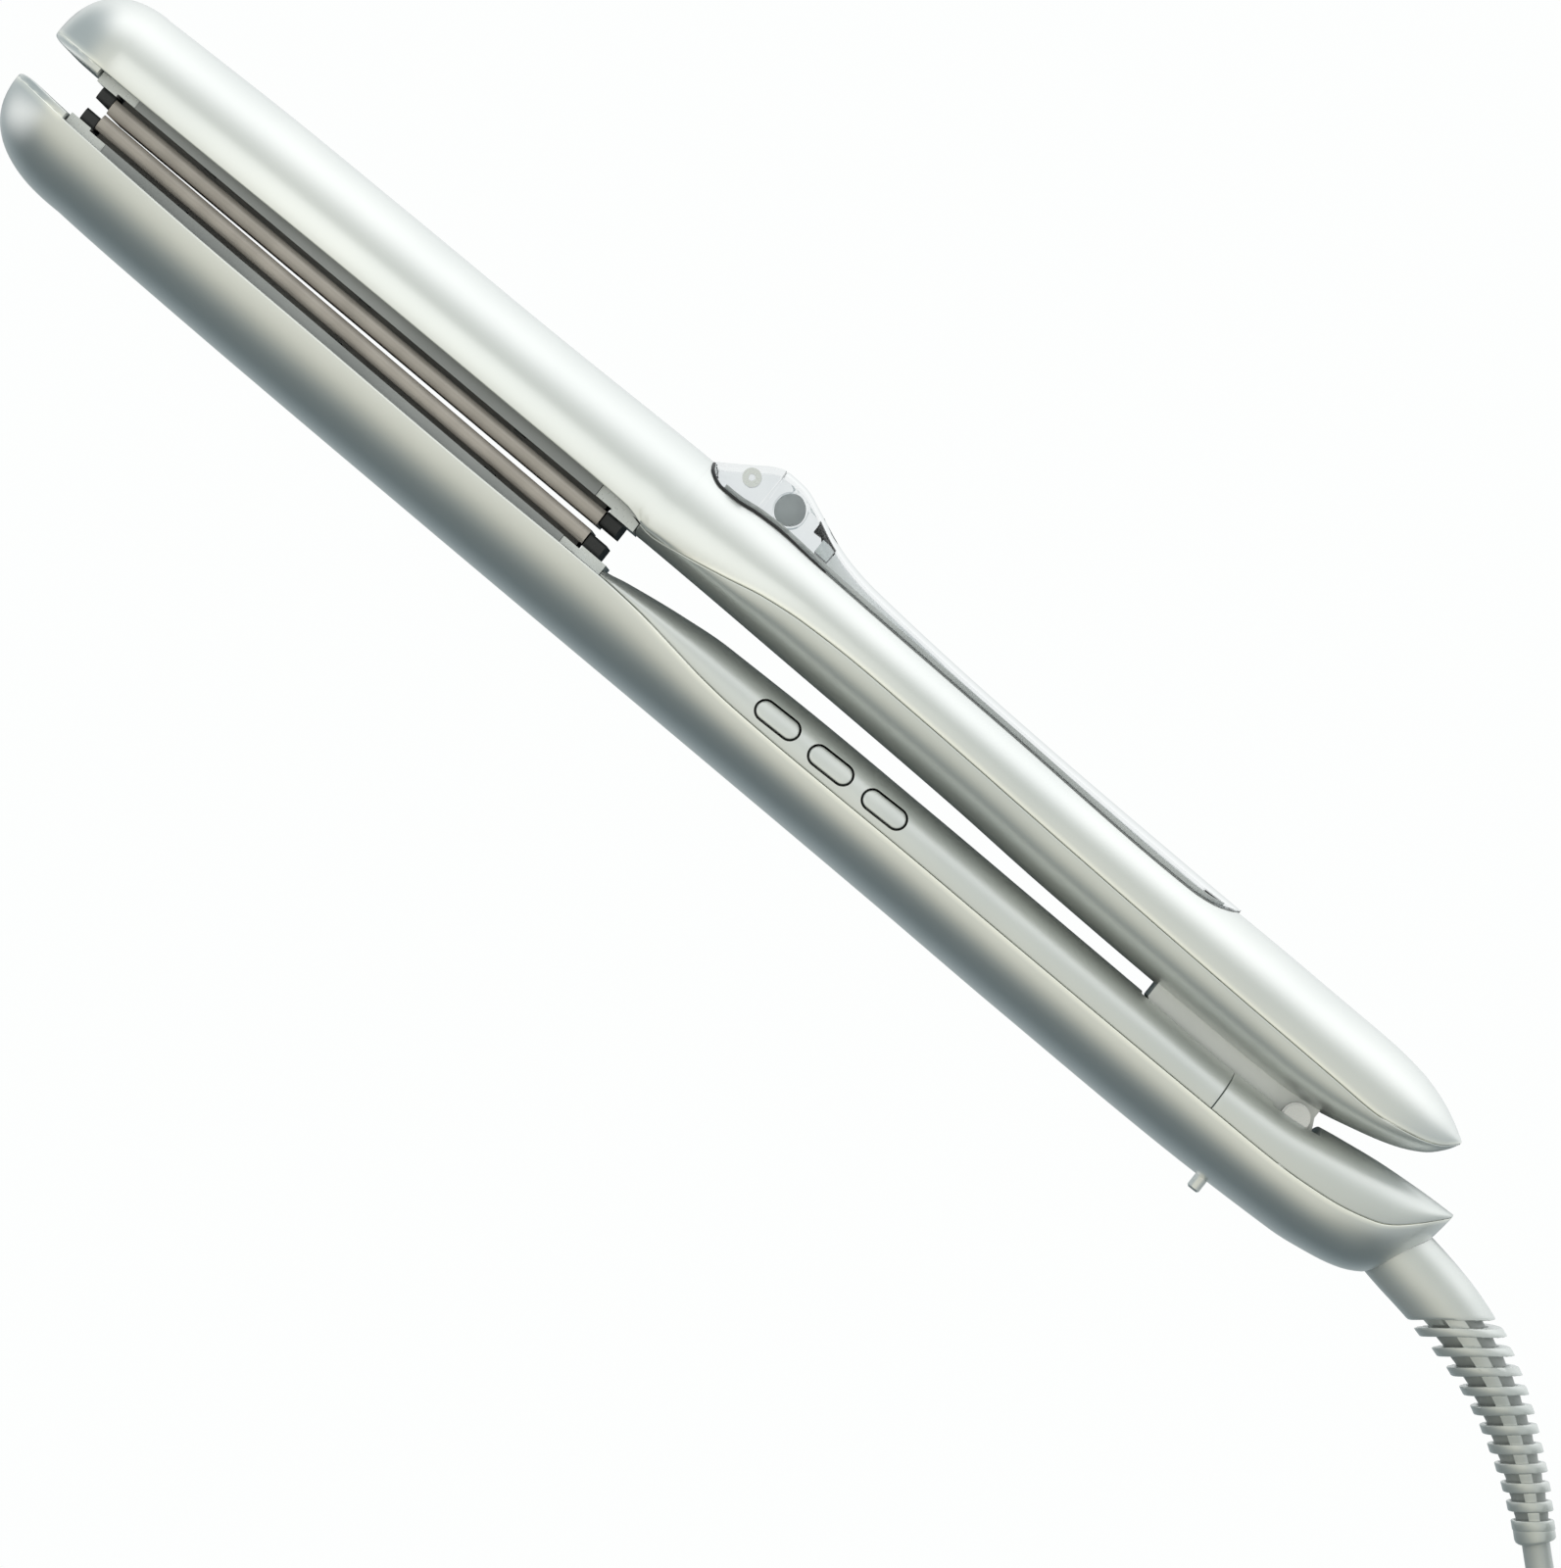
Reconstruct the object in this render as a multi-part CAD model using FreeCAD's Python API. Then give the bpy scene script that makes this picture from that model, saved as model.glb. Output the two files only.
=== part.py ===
import FreeCAD, Part
import math
import os
from FreeCAD import Vector

# Steam hair straightener lying on its side, in millimetres.
# x runs from the front tips to the tail, y from the lower arm to the upper arm,
# z is the width of the arms, from the surface that they lie on.
originX = 160.0  # the box's middle, taken off every point when a piece is saved
originY = 2.35

armWidth = 34.0
midZ = armWidth / 2
sideSwell = 0.3  # the smooth sides bulge by up to this between their sections
wall = 1.8  # thickness of the moulded casings
noseLength = 14.0  # the stretch over which the front narrows to its tip
tailLength = 42.0
outerBulge = 2.2  # section exponents: 2 is an ellipse, more is squarer
innerBulge = 2.6
sidePoints = 10  # spans on each side of a section

plateStart = 17.6
plateEnd = 128.2
plateThick = 2.9
plateHalf = 13.5
plateFloat = 0.6  # travel of each plate on its rubber stops
coverStart = 134.2
tailCoverStart = 274.0

hingeX = 287.0
hingeY = -4.0
pinRadius = 1.5
neckStart = 254.0
neckEnd = 289.8
neckHalf = 7.0

buttonLength = 8.7
buttonHeight = 3.4
buttonTravel = 0.5

tankCapEnd = 148.2
tankWall = 1.3

cordDiameter = 5.0
coilX = 425.0
coilY = -22.0
coilTurnRadius = 28.5  # middle of the turns
coilTurnsPerLayer = 2.5
coilLayers = 4
coilLift = 0.8  # the coil lies on its tie
turnPitch = 5.1

# Outlines in the x, y plane.
upperTop = [
    (0.75, 12.2), (1.4, 16.4), (2.6, 19.4), (4.4, 21.4), (7.5, 23.2), (14.1, 24.6), (37.0, 24.7),
    (67.7, 24.2), (103.5, 23.4), (134.3, 23.1), (150.0, 22.5), (172.0, 21.3), (206.2, 19.6),
    (245.0, 18.2), (265.5, 17.8), (280.9, 17.3), (292.4, 16.9), (299.9, 16.1), (306.1, 14.4),
    (310.2, 12.5), (313.2, 10.7),
]
upperBottom = [
    (0.75, 10.4), (6.0, 8.0), (20.0, 6.6), (60.0, 5.7), (100.0, 4.9), (134.1, 4.5), (147.5, 4.1),
    (162.7, 3.5), (206.2, 1.7), (227.3, 0.4), (254.0, -0.7), (280.9, -1.4), (288.5, -0.9),
    (296.2, 0.6), (303.9, 2.7), (309.0, 5.2), (311.8, 8.0), (313.2, 10.3),
]
upperWide = [
    (0.75, 11.1), (19.5, 10.0), (67.7, 9.1), (103.5, 8.2), (134.3, 7.2), (151.3, 8.3), (166.7, 10.1),
    (193.4, 9.8), (227.3, 8.05), (265.5, 6.2), (288.5, 5.3), (296.2, 5.3), (303.9, 6.4),
    (309.0, 8.0), (313.2, 10.5),
]
upperSeam = [
    (-8.0, 11.3), (1.5, 10.8), (19.5, 10.0), (67.7, 9.1), (103.5, 8.2), (130.0, 7.3), (136.8, 5.7),
    (142.9, 6.5), (151.3, 8.05), (159.0, 9.6), (166.7, 10.3), (174.2, 10.45), (193.4, 9.8),
    (227.3, 8.05), (265.5, 6.2), (288.5, 5.3), (296.2, 5.0), (303.9, 6.0), (309.0, 7.4),
    (313.2, 10.4), (318.0, 15.0),
]
lowerTop = [
    (0.0, 0.9), (6.5, 2.8), (20.0, 3.2), (60.0, 1.6), (103.5, -0.2), (124.0, -2.4),
    (133.8, -3.8), (138.3, -3.0), (149.8, -1.5), (159.0, -0.8), (170.4, -0.8), (206.2, -1.6),
    (227.3, -2.3), (254.0, -3.2), (273.2, -3.9), (284.7, -3.6), (296.2, -2.0), (303.9, -1.0),
    (309.0, -0.6), (315.0, -0.3),
    (320.0, -0.2),
]
lowerBottom = [
    (0.0, -1.2), (0.7, -4.1), (2.7, -7.5), (5.7, -10.3), (11.1, -12.4), (18.0, -13.5),
    (44.7, -15.0), (103.5, -17.1), (162.7, -18.9), (206.2, -20.3), (235.0, -21.4), (277.0, -22.4),
    (296.2, -22.1), (303.9, -21.2), (309.0, -20.1), (313.9, -17.6), (317.4, -12.0),
    (319.2, -6.5), (320.0, -1.0),
]
lowerSeam = [
    (-8.0, 1.0), (0.0, 0.6), (14.1, -0.5), (44.7, -2.2), (67.7, -3.0), (103.5, -4.3), (133.8, -5.0),
    (142.9, -5.65), (151.3, -6.85), (159.0, -8.0), (166.7, -8.7), (178.2, -9.2), (206.2, -9.9),
    (227.3, -10.6), (274.3, -11.9), (288.5, -12.2), (298.4, -11.65), (309.0, -9.5),
    (320.0, -0.6), (327.0, 6.0),
]
tankTop = [
    (137.2, 23.2), (139.9, 24.9), (143.3, 27.2), (145.9, 28.9), (148.3, 29.7), (152.1, 29.5),
    (157.4, 27.6), (162.7, 25.3), (167.4, 23.9), (172.8, 23.0), (206.2, 20.5), (245.3, 18.9),
    (258.2, 18.5),
]
tankEdge = [
    (137.0, 23.4), (138.3, 21.2), (141.3, 19.9), (144.4, 19.8), (149.0, 20.3), (152.8, 20.4),
    (162.7, 19.7), (206.2, 17.6), (248.7, 15.7), (252.6, 16.1), (255.6, 17.0), (258.2, 18.3),
]

madeSolids = {}
os.makedirs("parts", exist_ok=True)
cordNodes = [
    "strain_relief", "cord_run", "cord_coil", "cord_tail", "cord_tie", "plug_body", "plug_pins",
]


def heightAt(outline, x):
    """Height of a smooth outline at x."""
    last = len(outline) - 1
    x = min(max(x, outline[0][0]), outline[last][0])
    i = 0
    while i < last - 1 and x > outline[i + 1][0]:
        i += 1

    def slope(k):
        a = outline[max(k - 1, 0)]
        b = outline[k]
        c = outline[min(k + 1, last)]
        if k == 0:
            return (c[1] - b[1]) / (c[0] - b[0])
        if k == last:
            return (b[1] - a[1]) / (b[0] - a[0])
        left = (b[1] - a[1]) / (b[0] - a[0])
        right = (c[1] - b[1]) / (c[0] - b[0])
        if left * right <= 0:
            return 0.0
        return 2 * left * right / (left + right)

    x0, y0 = outline[i]
    x1, y1 = outline[i + 1]
    span = x1 - x0
    t = (x - x0) / span
    rise = (2 * t**3 - 3 * t**2 + 1) * y0 + (3 * t**2 - 2 * t**3) * y1
    return rise + span * ((t**3 - 2 * t**2 + t) * slope(i) + (t**3 - t**2) * slope(i + 1))


def halfWidthAt(x, start, end):
    """Half the width of an arm, rounded off at both tips."""
    front = min(max((x - start) / noseLength, 0.0), 1.0)
    back = min(max((end - x) / tailLength, 0.0), 1.0)
    atNose = (1 - (1 - front) ** 2.3) ** (1 / 2.3)
    atTail = (1 - (1 - back) ** 2.4) ** (1 / 2.4)
    return (midZ - sideSwell) * min(atNose, atTail)


def bulged(cosine, power):
    return math.copysign(abs(cosine) ** (2 / power), cosine)


def sideArc(x, low, wide, high, half, lowPower, highPower, side):
    """One side of a section, from its top to its bottom."""
    points = []
    for k in range(sidePoints + 1):
        angle = math.pi / 2 - math.pi * k / sidePoints
        power = highPower if angle > 0 else lowPower
        reach = high - wide if angle > 0 else wide - low
        z = midZ + side * half * bulged(max(math.cos(angle), 0.0), power)
        y = wide + reach * bulged(math.sin(angle), power)
        points.append(Vector(x, y, z))
    return points


def sectionWire(x, low, wide, high, half, lowPower, highPower):
    """Closed smooth section across the arm at x, in two halves that meet at top and bottom."""
    near = sideArc(x, low, wide, high, half, lowPower, highPower, 1)
    far = sideArc(x, low, wide, high, half, lowPower, highPower, -1)
    far.reverse()
    edges = []
    for points, sign in ((near, 1), (far, -1)):
        curve = Part.BSplineCurve()
        curve.interpolate(
            Points=points, InitialTangent=Vector(0, 0, sign), FinalTangent=Vector(0, 0, -sign)
        )
        edges.append(curve.toShape())
    return Part.Wire(edges)


def armForm(stations, top, bottom, wide, tip, tail, powers, inset=0.0):
    """Solid form of one arm, or the space inside it when inset is the wall."""
    middle = (tip + tail) / 2
    wires = []
    for x in stations:
        low = heightAt(bottom, x) + inset
        high = heightAt(top, x) - inset
        half = halfWidthAt(x, tip, tail) - inset
        place = x + inset if x < middle else x - inset
        centre = min(max(heightAt(wide, x), low + 0.25), high - 0.25)
        wires.append(sectionWire(place, low, centre, high, half, powers[0], powers[1]))
    return Part.makeLoft(wires, True, False)


def prism(outline, farY, low=-10.0, high=60.0):
    """Everything between a smooth outline and the level farY."""
    curve = Part.BSplineCurve()
    curve.interpolate([Vector(x, y, low) for x, y in outline])
    first = Vector(outline[0][0], outline[0][1], low)
    last = Vector(outline[-1][0], outline[-1][1], low)
    corners = [last, Vector(last.x, farY, low), Vector(first.x, farY, low), first]
    edges = [curve.toShape()]
    for a, b in zip(corners, corners[1:]):
        edges.append(Part.makeLine(a, b))
    return Part.Face(Part.Wire(edges)).extrude(Vector(0, 0, high - low))


def block(x0, x1, y0, y1, z0, z1):
    return Part.makeBox(x1 - x0, y1 - y0, z1 - z0, Vector(x0, y0, z0))


def rod(x, y, z0, z1, radius):
    return Part.makeCylinder(radius, z1 - z0, Vector(x, y, z0), Vector(0, 0, 1))


def post(x, z, y0, y1, radius):
    return Part.makeCylinder(radius, y1 - y0, Vector(x, y0, z), Vector(0, 1, 0))


def softened(shape, radius, alongX):
    """The block with the edges that run along x, or all of them, rounded."""
    edges = []
    for edge in shape.Edges:
        run = edge.tangentAt(edge.FirstParameter)
        if abs(run.x) > 0.9 or not alongX:
            edges.append(edge)
    return shape.makeFillet(radius, edges)


def polygonPrism(corners, z0, z1):
    points = [Vector(x, y, z0) for x, y in corners]
    wire = Part.makePolygon(points + [points[0]])
    return Part.Face(wire).extrude(Vector(0, 0, z1 - z0))


def pill(x, y, z0, z1, length, height):
    """A bar with round ends, standing along z."""
    flat = length / 2 - height / 2
    body = block(x - flat, x + flat, y - height / 2, y + height / 2, z0, z1)
    ends = [rod(x - flat, y, z0, z1, height / 2), rod(x + flat, y, z0, z1, height / 2)]
    return body.fuse(ends).removeSplitter()


def largest(shape):
    """The biggest solid of a cut, without slivers."""
    return max(shape.Solids, key=lambda solid: solid.Volume)


def save(node, shape):
    """Write one piece in the object's own frame."""
    moved = shape.copy()
    moved.translate(Vector(-originX, -originY, 0))
    moved.exportStep("parts/" + node + ".step")
    madeSolids[node] = shape
    state = "ok" if shape.isValid() and shape.Volume > 0 else "BAD"
    print(f"{node}: {state}, {len(shape.Solids)} solid(s), {shape.Volume / 1000:.2f} cm3")


# --- the two arms' outer forms and their hollow insides ---
upperStations = [
    0.95, 1.6, 2.8, 4.6, 7.0, 9.8, 12.6, 15.0, 18.0, 24.0, 36.0, 52.0, 75.0, 105.0, 128.0, 138.0,
    146.0, 154.0, 164.0, 178.0, 200.0, 225.0, 245.0, 260.0, 270.0, 277.0, 284.0, 290.0, 296.0,
    301.0, 306.0, 309.5, 311.6, 312.8,
]
lowerStations = [
    0.2, 0.8, 1.9, 3.8, 6.2, 9.0, 12.0, 14.5, 17.5, 24.0, 36.0, 52.0, 75.0, 105.0, 128.0, 138.0,
    146.0, 154.0, 164.0, 178.0, 200.0, 225.0, 250.0, 266.0, 276.0, 284.0, 292.0, 299.0, 306.0,
    311.5, 315.0, 317.4, 318.9, 319.7,
]
cavityStart = 12.6
upperPowers = (innerBulge, outerBulge)
lowerPowers = (outerBulge, innerBulge)


def formPair(stations, top, bottom, wide, tip, tail, powers):
    outer = armForm(stations, top, bottom, wide, tip, tail, powers)
    inside = [x for x in stations if cavityStart - wall < x < tail - 3]
    inner = armForm(inside, top, bottom, wide, tip, tail, powers, wall)
    return outer, inner


upperForm, upperInside = formPair(
    upperStations, upperTop, upperBottom, upperWide, upperTop[0][0], upperTop[-1][0], upperPowers
)
lowerForm, lowerInside = formPair(
    lowerStations, lowerTop, lowerBottom, lowerSeam[1:-1], 0.0, lowerTop[-1][0], lowerPowers
)
aboveUpperSeam = prism(upperSeam, 60.0)
belowUpperSeam = prism(upperSeam, -60.0)
aboveLowerSeam = prism(lowerSeam, 60.0)
belowLowerSeam = prism(lowerSeam, -60.0)
aboveTankEdge = prism(tankEdge, 60.0)

# --- swivel axis of the cord, at the tail of the lower arm ---
swivelTilt = math.radians(-8.0)
swivelAxis = Vector(math.cos(swivelTilt), math.sin(swivelTilt), 0)
swivelRoot = Vector(317.6, -11.75, midZ)
sleeveRadius = 6.4


def onSwivel(start, end, radius):
    """A cylinder on the swivel axis, from start to end along it."""
    base = swivelRoot + swivelAxis * start
    return Part.makeCylinder(radius, end - start, base, swivelAxis)


swivelHole = onSwivel(-9.0, 14.0, sleeveRadius + 0.4)

# --- hinge neck and the slot that it passes through ---
slotBox = block(neckStart - 1.2, neckEnd + 2.4, -12.0, 0.0, midZ - neckHalf - 1, midZ + neckHalf + 1)
neckProfile = [
    (neckStart, 2.0), (neckStart, -3.3), (neckStart + 1.2, -4.4), (278.0, -6.6), (283.0, -8.3),
    (288.0, -8.5), (290.6, -6.8), (neckEnd + 1.0, -4.0), (neckEnd, -2.0), (neckEnd, 2.0),
]

# --- upper arm ---
pocketFloor = 10.9
pocketSpace = block(154.7, 246.3, pocketFloor, 30.0, midZ - 9.3, midZ + 9.3)
upperShell = upperForm.common(aboveUpperSeam).cut(upperInside).cut(aboveTankEdge).cut(pocketSpace)
save("upper_outer_shell", largest(upperShell))

upperCover = upperForm.common(belowUpperSeam).common(block(coverStart, 330, -60, 60, -10, 60))
neckScrewPlaces = [(259.0, midZ), (274.0, midZ)]
upperCover = upperCover.cut(upperInside)
for x, z in neckScrewPlaces:
    upperCover = upperCover.cut(post(x, z, -6.0, 6.0, 1.3))
save("upper_inner_cover", largest(upperCover))

neck = polygonPrism(neckProfile, midZ - neckHalf, midZ + neckHalf)
neck = neck.cut(upperForm)
neck = neck.cut(block(281.2, 292.0, -9.5, 0.8, midZ - 3.2, midZ + 3.2))
neck = neck.cut(rod(hingeX, hingeY, 0, armWidth, 2.5))
for x, z in neckScrewPlaces:
    neck = neck.cut(post(x, z, -2.6, 4.0, 1.0))
save("hinge_neck", largest(neck))

bushes = []
for z0, z1 in ((midZ - neckHalf, midZ - 3.2), (midZ + 3.2, midZ + neckHalf)):
    ring = rod(hingeX, hingeY, z0, z1, 2.5).cut(rod(hingeX, hingeY, z0, z1, pinRadius + 0.06))
    bushes.append(ring)
save("hinge_bushes", Part.makeCompound(bushes))

neckScrews = []
for x, z in neckScrewPlaces:
    shank = post(x, z, -2.6, 2.9, 1.0)
    head = post(x, z, 2.9, 4.4, 2.1)
    neckScrews.append(shank.fuse(head).removeSplitter())
save("neck_screws", Part.makeCompound(neckScrews))


def plateLine(start, end):
    """Corners of a plate's working face, and its slope."""
    slope = (end - start) / (plateEnd - plateStart)
    return lambda x: start + slope * (x - plateStart)


upperFace = plateLine(4.85, 1.5)
lowerFace = plateLine(4.5, 0.3)


def tiltedBar(line, x0, x1, y0, y1, half, radius):
    """A bar that follows a sloping line, y0 to y1 above it, with rounded long edges."""
    corners = [(x0, line(x0) + y0), (x1, line(x1) + y0), (x1, line(x1) + y1), (x0, line(x0) + y1)]
    bar = polygonPrism(corners, midZ - half, midZ + half)
    return softened(bar, radius, True) if radius else bar


def plateSet(arm, line, side, inside):
    """Plate, heater, stops, carrier, caps and pads of one arm; side is +1 above its plate."""

    def bar(x0, x1, y0, y1, half, radius=0.0):
        low, high = sorted((side * y0, side * y1))
        return tiltedBar(line, x0, x1, low, high, half, radius)

    behind = plateThick + plateFloat + 0.3
    save(arm + "_plate", bar(plateStart, plateEnd, 0, plateThick, plateHalf, 1.2))
    save(arm + "_heater", bar(18.3, 127.5, plateThick, plateThick + 2.4, 9.0))
    pocket = bar(17.7, 128.1, behind - 1, behind + 3.2, 9.5)
    carrier = bar(21.0, 124.9, behind, behind + 6.0, 13.6).cut(pocket).common(inside)
    stops = []
    for x in (38.0, 73.0, 108.0):
        for z in (midZ - 11.5, midZ + 11.5):
            low, high = sorted((line(x) + side * (behind - 0.25), line(x) + side * (behind + 1.2)))
            stops.append(post(x, z, low, high, 1.3))
            carrier = carrier.cut(stops[-1])
    save(arm + "_plate_carrier", largest(carrier))
    save(arm + "_plate_stops", Part.makeCompound(stops))
    frontPad = bar(14.4, plateStart - 0.25, 0.9, plateThick + 0.4, 12.6, 0.8)
    rearPad = bar(plateEnd + 0.25, 131.9, 0.4, plateThick + 0.2, 12.6, 0.8)
    save(arm + "_end_pads", Part.makeCompound([frontPad, rearPad]))
    frontCap = bar(14.0, 20.9, behind + 0.05, behind + 4.5, 13.2)
    frontCap = frontCap.fuse(bar(12.9, 17.2, plateThick + 0.4, behind + 4.5, 13.2)).cut(pocket).common(inside)
    rearCap = bar(125.0, 133.9, behind + 0.05, behind + 4.0, 13.2)
    rearCap = rearCap.fuse(bar(128.6, 133.9, plateThick + 0.2, behind + 4.0, 13.2)).cut(pocket).common(inside)
    save(arm + "_front_cap", largest(frontCap.removeSplitter()))
    save(arm + "_rear_cap", largest(rearCap.removeSplitter()))


def plateSpace(inside, seamSide, low, high):
    """The casing's cavity and the space just outside it where the plate parts show."""
    outside = block(12.7, coverStart - 0.2, low, high, 2.4, armWidth - 2.4)
    return inside.fuse(outside.common(seamSide))


plateSet("upper", upperFace, 1, plateSpace(upperInside, belowUpperSeam, -8.0, 11.5))
plateSet("lower", lowerFace, -1, plateSpace(lowerInside, aboveLowerSeam, -5.0, 8.0))

# --- steam parts inside the upper handle ---
reservoirHalf = 9.0
reservoir = [(155.0, 11.2), (246.0, 11.2), (246.0, 17.0), (155.0, 21.2)]
spigotX = 238.0


def band(outline, depth):
    """The strip between an outline and the same outline lowered by depth."""
    lowered = [(x, y - depth) for x, y in outline]
    return prism(outline, -60.0).common(prism(lowered, 60.0))


pocketWalls = block(153.2, 247.8, pocketFloor - 1.5, 30.0, midZ - 10.8, midZ + 10.8)
tray = band(tankEdge, 1.5).fuse(pocketWalls.common(prism(tankEdge, -60.0)))
tray = tray.common(upperInside).cut(pocketSpace)
feedY = 7.9
feedRadius = 1.2
spigot = post(spigotX, midZ, feedY + feedRadius + 0.05, 13.6, 2.0)
tray = tray.cut(spigot)
save("tank_tray", largest(tray))
save("outlet_spigot", spigot.cut(post(spigotX, midZ, 5.0, 20.0, 1.1)))
save("tank_latch", block(247.9, 250.8, 9.6, 13.4, midZ - 4, midZ + 4))
pump = softened(block(252.2, 270.0, 5.4, 12.6, midZ - 6, midZ + 6), 1.2, False)
feedTube = Part.makeCylinder(feedRadius, 252.2 - 151.5, Vector(151.5, feedY, midZ), Vector(1, 0, 0))
save("pump", pump)
save("feed_tube", feedTube)
chamber = block(137.6, 151.5, 6.9, 15.6, midZ - 9.5, midZ + 9.5)
save("steam_chamber", softened(chamber, 1.0, False))

# --- water tank ---
tankStations = [
    137.5, 138.6, 140.5, 143.0, 146.0, 148.6, 151.5, 155.0, 159.0, 163.0, 168.0, 176.0, 190.0,
    206.0, 225.0, 238.0, 246.0, 250.0, 253.0, 255.5, 257.4,
]


def armHalfAt(x, y):
    """Half-width of the upper arm's outer dome at height y."""
    centre = heightAt(upperWide, x)
    ratio = (y - centre) / (heightAt(upperTop, x) - centre)
    return (midZ - sideSwell) * (1 - min(ratio, 0.998) ** outerBulge) ** (1 / outerBulge)


def tankForm(inset=0.0):
    wires = []
    for x in tankStations:
        edge = heightAt(tankEdge, x)
        high = heightAt(tankTop, x) - inset
        half = max(armHalfAt(x, edge) - inset, 0.3)
        place = x + inset if x < 190 else x - inset
        wires.append(sectionWire(place, edge - 3, edge, max(high, edge + 0.2), half, 2.2, 2.2))
    return Part.makeLoft(wires, True, False)


def reservoirBar(margin):
    corners = [
        (reservoir[0][0] + margin, reservoir[0][1] + margin),
        (reservoir[1][0] - margin, reservoir[1][1] + margin),
        (reservoir[2][0] - margin, reservoir[2][1]),
        (reservoir[3][0] + margin, reservoir[3][1]),
    ]
    half = reservoirHalf - margin
    return polygonPrism(corners, midZ - half, midZ + half)


seat = [(x, y + 0.25) for x, y in tankEdge]
innerSeat = [(x, y + 0.25 + tankWall) for x, y in tankEdge]
tankOuter = tankForm().common(prism(seat, 60.0))
tankInner = tankForm(tankWall).common(prism(innerSeat, 60.0)).fuse(reservoirBar(tankWall))
tank = tankOuter.fuse(reservoirBar(0.0)).cut(tankInner)
fillerX, fillerY, fillerRadius = 152.5, 24.8, 3.0
fillerHole = rod(fillerX, fillerY, 0.0, midZ, fillerRadius)
ventX, ventY, ventRadius = 144.2, 24.7, 1.7
ventBody = rod(ventX, ventY, midZ + 7.0, midZ + 10.6, ventRadius)
valveBody = block(158.3, 163.6, 24.2, 30.0, midZ - 3.5, midZ + 3.5).common(tankOuter)
clipBody = block(250.8, 254.2, 17.3, 20.0, midZ - 2.5, midZ + 2.5).common(tankOuter)
frontOnly = block(120, tankCapEnd, 0, 60, -10, 60)
backOnly = block(tankCapEnd, 300, 0, 60, -10, 60)
save("tank_front_cap", largest(tank.common(frontOnly).cut(ventBody)))
tankBody = tank.common(backOnly).cut(valveBody).cut(clipBody).cut(fillerHole)
save("tank_body", largest(tankBody.cut(post(spigotX, midZ, 5.0, 16.0, 2.4))))
save("tank_valve", largest(valveBody))
save("tank_clip", largest(clipBody))
divider = block(160.6, 163.4, 19.0, 24.1, 0, armWidth).common(tankInner).cut(reservoirBar(0.0))
save("tank_divider", largest(divider))
save("vent_boss", ventBody.cut(rod(ventX, ventY, 0, armWidth, 0.6)))
fillerDisc = rod(fillerX, fillerY, 0.0, midZ, fillerRadius - 0.2).common(tankOuter).cut(tankInner)
save("filler_plug", largest(fillerDisc))

# --- lower arm ---
lockX = 281.35
lockRadius = 1.25
lugSlot = block(282.4, 292.2, -12.0, 0.0, midZ - 10.6, midZ + 10.6)
bossPlaces = [(280.6, midZ - 6.5), (280.6, midZ + 6.5), (294.5, midZ - 6.5), (294.5, midZ + 6.5)]
bracketBottom = -17.5
lowerShell = lowerForm.common(belowLowerSeam).cut(lowerInside)
for x, z in bossPlaces:
    boss = post(x, z, -24.0, bracketBottom, 2.3).common(lowerForm)
    lowerShell = lowerShell.fuse(boss).cut(post(x, z, -20.5, bracketBottom + 1, 0.9))
lowerShell = lowerShell.cut(post(lockX, midZ, -30.0, -18.0, lockRadius + 0.1)).cut(swivelHole)
save("lower_outer_shell", largest(lowerShell))

buttons = [("power_button", 173.8, -5.6), ("mode_button", 185.8, -6.05), ("heat_button", 197.8, -6.3)]
buttonFoot = 29.6
coverHoles = []
switches = []
for name, x, y in buttons:
    coverHoles.append(pill(x, y, 28.9, 40.0, buttonLength + 0.5, buttonHeight + 0.5))
    button = pill(x, y, buttonFoot, 40.0, buttonLength, buttonHeight).common(lowerForm)
    save(name, largest(button))
    stem = rod(x, y, 27.8, buttonFoot - buttonTravel - 0.05, 1.1)
    switches.append(block(x - 2.5, x + 2.5, y - 1.8, y + 1.2, 25.6, 27.8).fuse(stem))
save("button_switches", Part.makeCompound(switches))
save("control_board", block(165.0, 226.0, -14.8, -5.3, 24.0, 25.6))

lowerCover = lowerForm.common(aboveLowerSeam).cut(lowerInside).cut(slotBox).cut(lugSlot)
for hole in coverHoles:
    lowerCover = lowerCover.cut(hole)
save("lower_inner_cover", largest(lowerCover.common(block(coverStart, tailCoverStart, -60, 60, -10, 60))))
tailCover = lowerCover.common(block(tailCoverStart, 330, -60, 60, -10, 60)).cut(swivelHole)
save("lower_tail_cover", largest(tailCover))
save("terminal_block", softened(block(240.0, 252.0, -17.5, -11.0, midZ - 6, midZ + 6), 0.8, False))

# --- hinge ---
bracket = block(277.0, 297.5, bracketBottom, bracketBottom + 1.5, midZ - 9.3, midZ + 9.3)
for side in (-1, 1):
    z0, z1 = sorted((midZ + side * 7.3, midZ + side * 9.3))
    lug = block(hingeX - 2.6, hingeX + 2.6, bracketBottom + 1.5, hingeY, z0, z1)
    lug = lug.fuse(rod(hingeX, hingeY, z0, z1, 2.6))
    bracket = bracket.fuse(lug)
bracket = bracket.removeSplitter().cut(rod(hingeX, hingeY, 0, armWidth, pinRadius))
for x, z in bossPlaces:
    bracket = bracket.cut(post(x, z, -19.0, -14.0, 1.1))
bracket = bracket.cut(post(lockX, midZ, -19.0, -14.0, lockRadius + 0.1))
save("hinge_bracket", largest(bracket))
pin = rod(hingeX, hingeY, midZ - 9.3, midZ + 9.3, pinRadius)
for side in (-1, 1):
    z0, z1 = sorted((midZ + side * 9.3, midZ + side * 10.1))
    pin = pin.fuse(rod(hingeX, hingeY, z0, z1, 2.3))
save("hinge_pin", pin.removeSplitter())
springTurns = 5
springPitch = 1.05
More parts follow.
